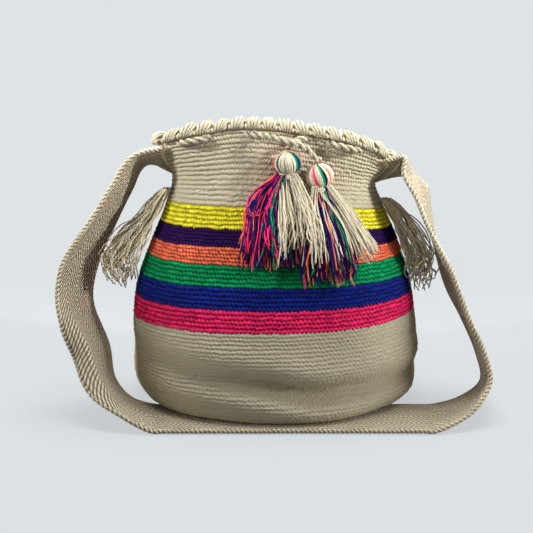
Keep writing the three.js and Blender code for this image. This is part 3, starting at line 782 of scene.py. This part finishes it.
class BAG_OT_crochet_wall(PieceOperator, bpy.types.Operator):
    """Works the crocheted base and the wall's stripes, each stripe as one piece"""

    bl_idname = "bag.crochet_wall"
    bl_label = "Crochet wall"

    def execute(self, context):
        yarns, crochet = context.scene.bag_yarns, context.scene.bag_crochet
        relief = crochet.relief / MM
        done = 0
        for i, (name, slot, yarn, low, rounds) in enumerate(STRIPES):
            high = STRIPES[i + 1][3] if i + 1 < len(STRIPES) else MOUTH_HEIGHT
            band = crochet_band(done, rounds, low, high, crochet.stitches, relief)
            # How far the painted shade in the hollows darkens each yarn.
            hollow_shade = 0.02 if yarn == "natural" else 0.06
            material = cotton(f"crochet_{yarn}", getattr(yarns, yarn), hollow_shade=hollow_shade)
            finish_piece(ring_piece(f"wall_{name}", *band), material, slot, "bag_body")
            done += rounds
        base = ring_piece("base", *crochet_base(crochet.stitches, relief))
        finish_piece(base, cotton("crochet_natural", yarns.natural), "crochet_natural", "bag_body")
        return {"FINISHED"}


def shell_paths(shells, radius):
    """The yarns of the edging: each shell is a fan that goes up outside, over the rim and down inside."""
    centres = (np.arange(shells) + 0.5) / shells
    at = wall_points(even_turns(MOUTH_HEIGHT, centres), MOUTH_HEIGHT)
    tangent = unit(wall_points(even_turns(MOUTH_HEIGHT, centres + 0.002), MOUTH_HEIGHT) - at)
    up = np.array([0, 0, 1.0])
    outward = unit(np.cross(tangent, up))
    rng = np.random.default_rng(5)
    paths = []
    for k in range(shells):
        lean = -0.6 * np.tanh(at[k][0] / 40) * tangent[k][0] + rng.uniform(-0.12, 0.12)
        size = radius * rng.uniform(0.92, 1.08)
        for fan in np.linspace(-1, 1, SHELL_YARNS):
            height = size * (1.05 - 0.75 * fan**2)
            line = [
                at[k]
                + tangent[k] * (size * SHELL_SPREAD * fan + height * share * (0.45 * fan + lean))
                + outward[k] * out
                + up * (height * share - SHELL_SINK)
                for share, out in SHELL_WAY
            ]
            paths.append(smooth_line(line, np.linspace(0, 1, 14)))
    return np.array(paths)


class BAG_OT_shell_edging(PieceOperator, bpy.types.Operator):
    """Works the shell edging round the mouth, and the round that it stands on"""

    bl_idname = "bag.shell_edging"
    bl_label = "Shell edging"

    def execute(self, context):
        yarns, crochet = context.scene.bag_yarns, context.scene.bag_crochet
        paths = shell_paths(crochet.shells, crochet.shell_radius / MM)
        fans = tube_parts(paths, crochet.shell_yarn / MM, 6)
        fan = np.tile(np.linspace(-1, 1, SHELL_YARNS), crochet.shells)
        # The outer yarns of each shell get more painted shade, so that the gaps between the shells read dark.
        deep = np.repeat(0.15 + 0.5 * fan**2, len(fans[0]) // len(fan))
        turns = even_turns(MOUTH_HEIGHT, np.linspace(0, 1, 361))
        turns[-1] = turns[0]
        rim = wall_points(turns, MOUTH_HEIGHT, -BAG_WALL / 2) + [0, 0, RIM_RISE]
        shells = new_piece("shell_edging", *fans, hollow=deep, tone=0.0)
        # The round under the shells gets painted shade all along.
        edge = new_piece("mouth_round", *tube_parts(rim[None], RIM_RADIUS, 10), hollow=0.55)
        for piece in (shells, edge):
            finish_piece(piece, cotton("crochet_natural", yarns.natural), "crochet_natural", "bag_body")
        return {"FINISHED"}


def strap_edges():
    """The front and back edges of the strap at its stations, from the left seam round to the right one."""

    def station(x, y, z, turn, dip, side):
        turn, dip = math.radians(turn), math.radians(dip)
        across = [-side * math.sin(turn) * math.cos(dip), math.cos(turn) * math.cos(dip), -math.sin(dip)]
        half = np.array(across) * STRAP_WIDTH / 2
        return [x, y, z] - half, [x, y, z] + half

    def riser(rows, side):
        stations = []
        for out, y, drop, turn, dip in rows:
            z = MOUTH_HEIGHT - drop
            stations.append(station(side * (side_at(side, 0, z) + out), y, z, turn, dip, side))
        return stations

    middle = strap_back() - STRAP_WIDTH / 2
    half_base = outline_at(CORNER_HEIGHT)[0]
    run = [station(share * half_base, middle, SLOT_HEIGHT / 2, 0, 0, 1) for share in FLOOR_RUN]
    return np.array(riser(LEFT_RISER, -1) + run + riser(RIGHT_RISER, 1)[::-1]).swapaxes(0, 1)


def strap_surface(step, shares):
    """The strap's middle surface as rows of points along it, and how far along each row lies."""
    front, back = strap_edges()
    fine = np.linspace(0, 1, 3000)
    lines = [smooth_line(line, fine) for line in (front, back, (front + back) / 2)]
    length = distances(lines[2])
    whole = length[-1]
    marks = np.linspace(0, whole, round(whole / step) + 1)
    at = np.interp(marks, length, fine)
    front, back, middle = (resample(line, fine, at) for line in lines)
    shares = np.asarray(shares, float)
    share = (1 + np.maximum(shares, CURL_FROM))[None, :, None] / 2
    points = front[:, None] * (1 - share) + back[:, None] * share
    normals = unit(np.cross(np.gradient(middle, axis=0), back - front))
    # The front edge rolls outwards on the left, where the strap hangs free.
    ends = smoothstep(marks, 0, STRAP_LAP) * smoothstep(whole - marks, 0, STRAP_LAP)
    curl = np.radians(station_values(STRAP_CURL, middle[:, 2])[..., 0]) * (middle[:, 0] < 0) * ends
    beyond = np.maximum(CURL_FROM - shares, 0) * STRAP_WIDTH / 2
    angle = curl[:, None, None] * smoothstep(beyond[None, :, None] * np.linspace(0, 1, 25), 0, CURL_BEND)
    along = beyond[None, :] * np.cos(angle).mean(axis=2)
    aside = beyond[None, :] * np.sin(angle).mean(axis=2)
    points += unit(front - back)[:, None] * along[..., None] - normals[:, None] * aside[..., None]
    # Its ends come in against the bag's sides.
    for end, lap in ((0, 1 - marks / STRAP_LAP), (-1, 1 - (whole - marks) / STRAP_LAP)):
        edge = points[end]
        side = np.sign(edge[:, 0])
        faces = [edge + face * normals[end] * STRAP_THICKNESS / 2 for face in (-1, 0, 1)]
        reach = np.max([side_at(side, *face[:, 1:].T) for face in faces], axis=0)
        shift = side * (reach + RIDGE_RELIEF + SEAM_PLAY) - edge[:, 0]
        points[:, :, 0] += shift[None] * smoothstep(lap, 0, 1)[:, None]
    return points, marks


def seam_stitches(points, end):
    """Whip stitches over one end of the strap, from its outer face to the bag's wall."""
    edge, before = points[end], points[1 if end == 0 else -2]
    places = np.arange(len(edge))
    at = np.linspace(0.5, len(edge) - 1.5, SEAM_STITCHES)
    start = resample(edge, places, at)
    beyond = unit(start - resample(before, places, at))
    out = np.array([np.sign(edge[0, 0]), 0, 0])
    half = STRAP_THICKNESS / 2
    route = ((half + 0.4, -8), (half + 1.3, -3), (0.4, 2.2), (-half - 2, 3.6), (-half - 4.6, 3))
    lines = np.stack([start + out * away + beyond * on for away, on in route], axis=1)
    return np.stack([smooth_line(line, np.linspace(0, 1, 12)) for line in lines])


def twisted_cord(name, line, radius, turn, sides):
    """A cord of two plies twisted round each other, along a line with even steps."""
    places = np.arange(len(line)) * np.linalg.norm(line[1] - line[0])
    angle = np.arange(sides) / sides * 2 * math.pi
    twisted = angle[None, :] - (places / turn * 2 * math.pi)[:, None]
    apart, ply = 0.4 * radius, 0.6 * radius
    swell = apart * np.abs(np.cos(twisted)) + np.sqrt(ply**2 - (apart * np.sin(twisted)) ** 2)
    # Painted shade in the groove where the two plies meet: the deeper, the darker.
    deep = np.clip(1.15 - swell / radius, 0, 1).ravel() * 1.2
    return new_piece(name, *tube_parts(line[None], swell[None], sides, around_times=4), hollow=deep)


class BAG_OT_shoulder_strap(PieceOperator, bpy.types.Operator):
    """Plaits the shoulder strap as a band with a twisted yarn along each edge"""

    bl_idname = "bag.shoulder_strap"
    bl_label = "Shoulder strap"

    def execute(self, context):
        yarns, plait = context.scene.bag_yarns, context.scene.bag_strap
        half = STRAP_WIDTH / 2
        inset = 1 - plait.edge / MM / half
        shares = np.linspace(-inset, inset, BAND_COLUMNS)
        points, marks = strap_surface(BAND_STEP, shares)
        rows, columns = points.shape[:2]
        _, faces = grid_faces(rows, columns - 1)
        places = np.stack(np.broadcast_arrays(marks[:, None], shares * half), axis=-1).reshape(-1, 2) * MM
        strap = new_piece("strap_band", points.reshape(-1, 3), (faces,), places[faces.ravel()])
        bpy.ops.object.select_all(action="DESELECT")
        strap.select_set(True)
        context.view_layer.objects.active = strap
        thicken = strap.modifiers.new("Thickness", "SOLIDIFY")
        thicken.thickness = (STRAP_THICKNESS - 1) * MM
        thicken.offset = 0
        bpy.ops.object.modifier_apply(modifier=thicken.name)
        band = strap_cotton("plaited_strap", yarns.strap, plait.column, plait.row, PLAIT_SLOPE, half / 2 * MM)
        finish_piece(strap, band, "strap_natural", "shoulder_strap")
        edge = cotton("strap_edge", yarns.strap, bump=0.0004)
        for name, share in (("front", -inset), ("back", inset)):
            line, _ = strap_surface(EDGE_STEP, [share])
            piece = twisted_cord(f"strap_edge_{name}", line[:, 0], plait.edge / MM, EDGE_TURN, 10)
            finish_piece(piece, edge, "strap_natural", "shoulder_strap")
        for name, end in (("left", 0), ("right", -1)):
            seam = new_piece(f"strap_seam_{name}", *tube_parts(seam_stitches(points, end), SEAM_YARN, 6))
            finish_piece(seam, edge, "strap_natural", "shoulder_strap")
        return {"FINISHED"}


def hanging_y(x, z, thick):
    return front_at(x, z) - RIDGE_RELIEF - TASSEL_CLEARANCE - thick


def tassel_head(tassel):
    x, drop = tassel["head"]
    z = MOUTH_HEIGHT - drop
    return np.array([x, hanging_y(x, z, HEAD_RADIUS), z])


def drawstring_line():
    """The drawstring's whole way, as the CAD source has it, with even steps."""
    height = MOUTH_HEIGHT - CORD_DROP
    radius = CORD_DIAMETER / 2
    outside = RIDGE_RELIEF + radius + EYELET_PLAY + SEAT_GAP
    inside = -BAG_WALL - radius - EYELET_PLAY - SEAT_GAP

    def along(face, x, out):
        y = face * (abs(front_at(x, height)) + out)
        return [x, y, height + lift_at(x, y, height)]

    def run(face, middle, way):
        places = ((-HALF_RUN - CROSSING, inside), (-HALF_RUN, outside), (HALF_RUN, outside))
        return [along(face, middle + way * place, out) for place, out in places]

    def round_side(start, end):
        return list(wall_points(np.linspace(start, end, 5), height, inside))

    def free_end(places):
        front = front_at(0, MOUTH_HEIGHT)
        return [[x, front - forward, MOUTH_HEIGHT - drop] for x, forward, drop in places]

    def seat(tassel):
        return tassel_head(tassel) + [0, 0, HEAD_RADIUS * tassel["flat"] + SEAT_GAP + 0.7 * radius]

    points = [
        seat(TASSELS["right"]),
        *free_end(LONG_END)[::-1],
        *run(-1, FRONT_RUN_LEFT, -1),
        *round_side(1.22 * math.pi, 0.78 * math.pi),
    ]
    for middle in BACK_RUNS:
        points += run(1, middle, 1)
    points += [
        *round_side(0.22 * math.pi, -0.22 * math.pi),
        *run(-1, FRONT_RUN_RIGHT, -1),
        along(-1, FRONT_RUN_RIGHT - HALF_RUN - CROSSING, inside),
        *free_end(SHORT_END),
        seat(TASSELS["left"]),
    ]
    return even_line(points, CORD_STEP)


class BAG_OT_drawstring(PieceOperator, bpy.types.Operator):
    """Twists the drawstring along its way through the mouth, with its ends at the tassels' heads"""

    bl_idname = "bag.drawstring"
    bl_label = "Drawstring"

    def execute(self, context):
        yarns, cord = context.scene.bag_yarns, context.scene.bag_cord
        line = drawstring_line()
        piece = twisted_cord("drawstring_cord", line, cord.diameter / MM / 2, cord.turn / MM, 16)
        finish_piece(piece, cotton("twisted_cord", yarns.cord, bump=0.0005), "cord_natural", "drawstring")
        on_it = [o for o in bpy.data.objects if o.name.startswith(("tassel_yarn", "tassel_wrap"))]
        if not on_it:
            raise RuntimeError("Make the tassels before the drawstring that they hang on")
        return {"FINISHED"}


def skirt_depth(tassel, z):
    """Where the skirt's middle lies in depth at a height, and its half thickness."""
    x, y, top = tassel_head(tassel)
    rows = [
        (top - 0.55 * HEAD_RADIUS, y, NECK_RADIUS + 3.5),
        (top - 0.85 * HEAD_RADIUS, y, NECK_RADIUS + 1.2),
    ]
    for x, drop, wide, thick in tassel["skirt"]:
        rows.append((MOUTH_HEIGHT - drop, hanging_y(abs(x) - wide, MOUTH_HEIGHT - drop, thick), thick))
    levels, depth, thick = np.array(rows[::-1]).T
    return np.interp(z, levels, depth), np.interp(z, levels, thick)


def strand_stations(rows):
    """Smooth values along a hanging yarn from rows at equal steps down it, and the share of it at each."""
    t = np.linspace(0, 1, STRAND_STATIONS)
    return station_values(np.column_stack([np.linspace(0, 1, len(rows)), rows]), t), t


def bunch_lines(tassel, stations, depth, wave, uneven, strands, rng):
    """Hanging yarns through the stations of a bunch. Each station is a centre (x, z) and a half width."""
    rows, t = strand_stations(stations)
    across = rng.uniform(-1, 1, strands)
    across = np.sign(across) * np.abs(across) ** 0.8
    phase = rng.uniform(0, 2 * math.pi, (3, strands, 1))
    swing = 2 * math.pi * rng.uniform(0.8, 0.9 + 1.1 * wave, (strands, 1)) * t
    sway = wave * t * rng.uniform(0.3, 1.3, (strands, 1))
    drop = rng.normal(0, 1, (strands, 1)).clip(-2, 2) * uneven / 2
    x = rows[:, 0] + across[:, None] * rows[:, 2] + sway * np.sin(swing + phase[0])
    z = rows[:, 1] + drop * t**2 + 0.3 * sway * np.sin(swing + phase[2])
    middle, thick = skirt_depth(tassel, z)
    place = rng.uniform(*depth, (strands, 1))
    y = middle + place * thick * 0.92 + 0.6 * sway * np.cos(swing + phase[1])
    return np.stack([x, y, z], axis=-1)


def head_lines(tassel, rng):
    """Yarns that go over the top of the head and in at the neck, with their turn round it."""
    turn = (np.arange(HEAD_STRANDS) + rng.uniform(-0.35, 0.35, HEAD_STRANDS)) / HEAD_STRANDS * 2 * math.pi
    rise = np.radians(np.linspace(86, -60, 12))
    radius = (HEAD_RADIUS - 1) * np.cos(rise)
    radius[0] = 2.2
    radius = np.append(radius, NECK_RADIUS - 1.0)
    height = np.append((HEAD_RADIUS - 1) * np.sin(rise), -HEAD_RADIUS - 1.5) * tassel["flat"]
    swirl = np.linspace(0, 0.25, len(radius))[None] + turn[:, None]
    tilt = math.radians(tassel["tilt"])
    x = 1.06 * radius * np.cos(swirl)
    lines = np.stack(
        [
            x * math.cos(tilt) - height * math.sin(tilt),
            radius * np.sin(swirl),
            x * math.sin(tilt) + height * math.cos(tilt),
        ],
        axis=-1,
    )
    return tassel_head(tassel) + lines, turn


class BAG_OT_tassels(PieceOperator, bpy.types.Operator):
    """Gathers the two front tassels from many yarns, each colour as one piece, and wraps their necks"""

    bl_idname = "bag.tassels"
    bl_label = "Tassels"

    def execute(self, context):
        yarns = context.scene.bag_yarns
        for side, tassel in TASSELS.items():
            rng = np.random.default_rng(tassel["seed"])
            lines = {}
            for counts, stations, depth, wave, uneven in BUNCHES[side]:
                for yarn, strands in counts.items():
                    made = bunch_lines(tassel, stations, depth, wave, uneven, strands, rng)
                    lines.setdefault(yarn, []).append(made)
            head, turn = head_lines(tassel, rng)
            front = np.angle(np.exp(1j * (turn + math.pi / 2)))
            others = rng.choice(["cream", "green", "blue", "orange", "pink"], HEAD_STRANDS)
            colours = np.where(np.abs(front) < 1.6, "cream", others)
            for degrees, yarn in HEAD_YARNS[side]:
                colours[np.argmin(np.abs(front - math.radians(degrees)))] = yarn
            for yarn, made in lines.items():
                parts = [tube_parts(np.concatenate(made), STRAND_RADIUS, STRAND_SIDES)]
                if (colours == yarn).any():
                    parts.append(tube_parts(head[colours == yarn], HEAD_YARN, 6))
                points, faces, uv = join_parts(parts)
                # Purple and blue yarns, mostly in the bunches behind, get darker tones: painted shade for the
                # shadow that the other strands cast on them.
                low, high = (-0.7, 0.5) if yarn in ("purple", "blue") else (0.0, 0.9)
                tone = np.repeat(rng.uniform(low, high, len(points) // 20 + 1), 20)[: len(points)]
                piece = new_piece(f"tassel_yarn_{side}_{yarn}", points, faces, uv, tone=tone)
                slot = "tassel_cream" if yarn == "cream" else f"crochet_{yarn}"
                material = cotton(f"yarn_{yarn}", getattr(yarns, yarn), twist=LOOSE_TWIST)
                finish_piece(piece, material, slot, f"front_tassel_{side}")
            self.wrap_neck(side, tassel_head(tassel), cotton("yarn_cream", yarns.cream, twist=LOOSE_TWIST))
        return {"FINISHED"}

    def wrap_neck(self, side, centre, cream):
        """The core of the head, and turns of yarn round the neck."""
        bpy.ops.object.select_all(action="DESELECT")
        bpy.ops.mesh.primitive_uv_sphere_add(
            segments=24, ring_count=14, radius=(HEAD_RADIUS - 2) * MM, location=centre * MM
        )
        core = bpy.context.active_object
        core.name = f"tassel_wrap_core_{side}"
        bpy.ops.object.transform_apply(location=True, rotation=True, scale=True)
        bpy.ops.object.shade_smooth()
        finish_piece(core, cream, "tassel_cream", f"front_tassel_{side}")
        turns = np.linspace(0, WRAP_TURNS * 2 * math.pi, WRAP_STATIONS)
        radius = NECK_RADIUS + 0.5 + 0.3 * np.cos(turns * 0.37)
        rise = np.linspace(-1.2, 2.4, WRAP_STATIONS) - HEAD_RADIUS
        line = centre + np.stack([radius * np.cos(turns), radius * np.sin(turns), rise], axis=1)
        wrap = new_piece(f"tassel_wrap_{side}", *tube_parts(line[None], WRAP_YARN, 6), tone=0.4)
        finish_piece(wrap, cream, "cord_natural", f"tassel_tie_{side}")


class BAG_OT_side_fringes(PieceOperator, bpy.types.Operator):
    """Hangs the fringe of yarn ends at each of the strap's two seams"""

    bl_idname = "bag.side_fringes"
    bl_label = "Side fringes"

    def execute(self, context):
        yarns = context.scene.bag_yarns
        one_each = (FRINGE_STRANDS, 1)
        for name, levels in SIDE_FRINGES.items():
            side = -1 if name == "left" else 1
            rng = np.random.default_rng(FRINGE_SEEDS[name])
            rows = []
            for out, y, drop, wide, thick in levels:
                z = MOUTH_HEIGHT - drop
                rows.append((side * (side_at(side, y, z) + out), y, z, wide, thick))
            at, t = strand_stations(rows)
            angle = rng.uniform(0, 2 * math.pi, one_each)
            reach = np.sqrt(rng.uniform(0, 1, one_each))
            phase = rng.uniform(0, 2 * math.pi, (2, *one_each))
            sway = (1.2 + 4.5 * t) * rng.uniform(0.3, 1.4, one_each)
            swing = 2 * math.pi * rng.uniform(0.8, 2.6, one_each) * t
            drop = rng.normal(4, 8, one_each).clip(-10, 22)
            x = at[:, 0] + reach * np.cos(angle) * at[:, 3] + sway * np.sin(swing + phase[0])
            y = at[:, 1] + reach * np.sin(angle) * at[:, 4] + sway * np.cos(swing + phase[1])
            lines = np.stack([x, y, at[:, 2] + drop * t**2], axis=-1)
            tone = np.repeat(rng.uniform(0, 1, FRINGE_STRANDS), STRAND_STATIONS * STRAND_SIDES)
            fringe = new_piece(f"fringe_{name}", *tube_parts(lines, FRINGE_RADIUS, STRAND_SIDES), tone=tone)
            material = cotton("yarn_fringe", yarns.fringe, twist=LOOSE_TWIST)
            finish_piece(fringe, material, "fringe_natural", f"side_fringe_{name}")
        return {"FINISHED"}


class BAG_OT_stage(PieceOperator, bpy.types.Operator):
    """Sets up the pale floor, the soft studio light and the camera"""

    bl_idname = "bag.stage"
    bl_label = "Stage"

    def execute(self, context):
        scene = context.scene
        scene.view_settings.view_transform = "Standard"
        bpy.ops.object.select_all(action="DESELECT")
        bpy.ops.mesh.primitive_plane_add(size=24, location=(0, 0, 0))
        floor = context.active_object
        floor.name = "studio_floor"
        floor.data.materials.append(self.floor_material())
        self.world(scene)
        self.lights()
        bpy.ops.object.camera_add(location=CAMERA_PLACE, rotation=(math.radians(90 - CAMERA_DIP), 0, 0))
        camera = context.active_object
        camera.name = "photo_camera"
        camera.data.lens = PHOTO_FOCAL / PHOTO_WIDTH * SENSOR_WIDTH
        camera.data.sensor_width = SENSOR_WIDTH
        camera.data.shift_x = -PHOTO_OFF_CENTRE / PHOTO_WIDTH
        camera.data.clip_end = 60
        scene.camera = camera
        return {"FINISHED"}

    def floor_material(self):
        """A pale floor, which keeps the bag's shadow."""
        material, tree, make, calc, surface = new_material("studio_floor")
        surface.inputs["Roughness"].default_value = 0.9
        surface.inputs["Specular IOR Level"].default_value = 0.1
        glow = make("ShaderNodeEmission", {"Color": (*linear(*BACKGROUND), 1), "Strength": 1.0}).outputs[0]
        light = make("ShaderNodeLightPath").outputs
        mirrored = calc("MAXIMUM", light["Is Glossy Ray"], light["Is Transmission Ray"])
        seen = calc("MAXIMUM", light["Is Camera Ray"], mirrored)
        place = make("ShaderNodeTexCoord").outputs["Object"]
        away = make("ShaderNodeVectorMath", {0: place}, operation="LENGTH").outputs["Value"]
        fade = {0: away, 1: FLOOR_NEAR, 2: FLOOR_FAR, 3: FLOOR_SHARE, 4: 1.0}
        far = make("ShaderNodeMapRange", fade).outputs[0]
        ground = make(
            "ShaderNodeMix", {0: seen, 6: (*linear(140, 142, 143), 1), 7: (*linear(192, 197, 200), 1)},
            data_type="RGBA",
        ).outputs["Result"]
        tree.links.new(ground, surface.inputs["Base Color"])
        share = calc("MULTIPLY", seen, far)
        mix = make("ShaderNodeMixShader", {0: share, 1: surface.outputs[0], 2: glow}).outputs[0]
        tree.links.new(mix, tree.nodes["Material Output"].inputs[0])
        return material

    def world(self, scene):
        """A faint even light all round, which the camera sees as the background's colour."""
        scene.world = bpy.data.worlds.new("studio_world")
        scene.world.use_nodes = True
        tree = scene.world.node_tree
        make, _ = node_maker(tree)
        around = make("ShaderNodeBackground", {"Color": (1, 1, 1, 1), "Strength": 0.125}).outputs[0]
        seen = make("ShaderNodeBackground", {"Color": (*linear(*BACKGROUND), 1), "Strength": 1.0}).outputs[0]
        by_camera = make("ShaderNodeLightPath").outputs["Is Camera Ray"]
        mix = make("ShaderNodeMixShader", {0: by_camera, 1: around, 2: seen}).outputs[0]
        tree.links.new(mix, tree.nodes["World Output"].inputs[0])

    def lights(self):
        for name, place, aim, size, power, beam in LIGHTS:
            bpy.ops.object.light_add(type="SPOT" if beam else "AREA", location=place)
            lamp = bpy.context.active_object
            lamp.name = name
            lamp.data.energy = power
            if beam:
                lamp.data.shadow_soft_size = size
                lamp.data.spot_size = math.radians(beam)
                lamp.data.spot_blend = 1
            else:
                lamp.data.shape = "SQUARE"
                lamp.data.size = size
            x, y, z = np.subtract(aim, place)
            lamp.rotation_euler = (
                math.pi / 2 - math.atan2(-z, math.hypot(x, y)),
                0,
                math.atan2(y, x) - math.pi / 2,
            )


STEPS = (
    BAG_OT_stage,
    BAG_OT_crochet_wall,
    BAG_OT_shell_edging,
    BAG_OT_shoulder_strap,
    BAG_OT_tassels,
    BAG_OT_drawstring,
    BAG_OT_side_fringes,
)
SETTINGS = (
    ("bag_yarns", BAG_PG_yarns),
    ("bag_crochet", BAG_PG_crochet),
    ("bag_strap", BAG_PG_strap),
    ("bag_cord", BAG_PG_cord),
)


class BAG_PT_panel(bpy.types.Panel):
    """The bag's steps and settings"""

    bl_idname = "BAG_PT_panel"
    bl_label = "Crochet bag"
    bl_space_type = "VIEW_3D"
    bl_region_type = "UI"
    bl_category = "Crochet bag"

    def draw(self, context):
        for step in STEPS:
            self.layout.operator(step.bl_idname)
        for name, group in SETTINGS:
            box = self.layout.box()
            for setting in group.__annotations__:
                box.prop(getattr(context.scene, name), setting)


def register():
    for _, group in SETTINGS:
        bpy.utils.register_class(group)
    for step in STEPS:
        bpy.utils.register_class(step)
    bpy.utils.register_class(BAG_PT_panel)
    for name, group in SETTINGS:
        setattr(bpy.types.Scene, name, bpy.props.PointerProperty(type=group))


def unregister():
    for name, _ in SETTINGS:
        delattr(bpy.types.Scene, name)
    bpy.utils.unregister_class(BAG_PT_panel)
    for step in reversed(STEPS):
        bpy.utils.unregister_class(step)
    for _, group in reversed(SETTINGS):
        bpy.utils.unregister_class(group)


def main():
    register()
    bpy.ops.bag.stage()
    bpy.ops.bag.crochet_wall()
    bpy.ops.bag.shell_edging()
    bpy.ops.bag.shoulder_strap()
    bpy.ops.bag.tassels()
    bpy.ops.bag.drawstring()
    bpy.ops.bag.side_fringes()


if __name__ == "__main__":
    main()
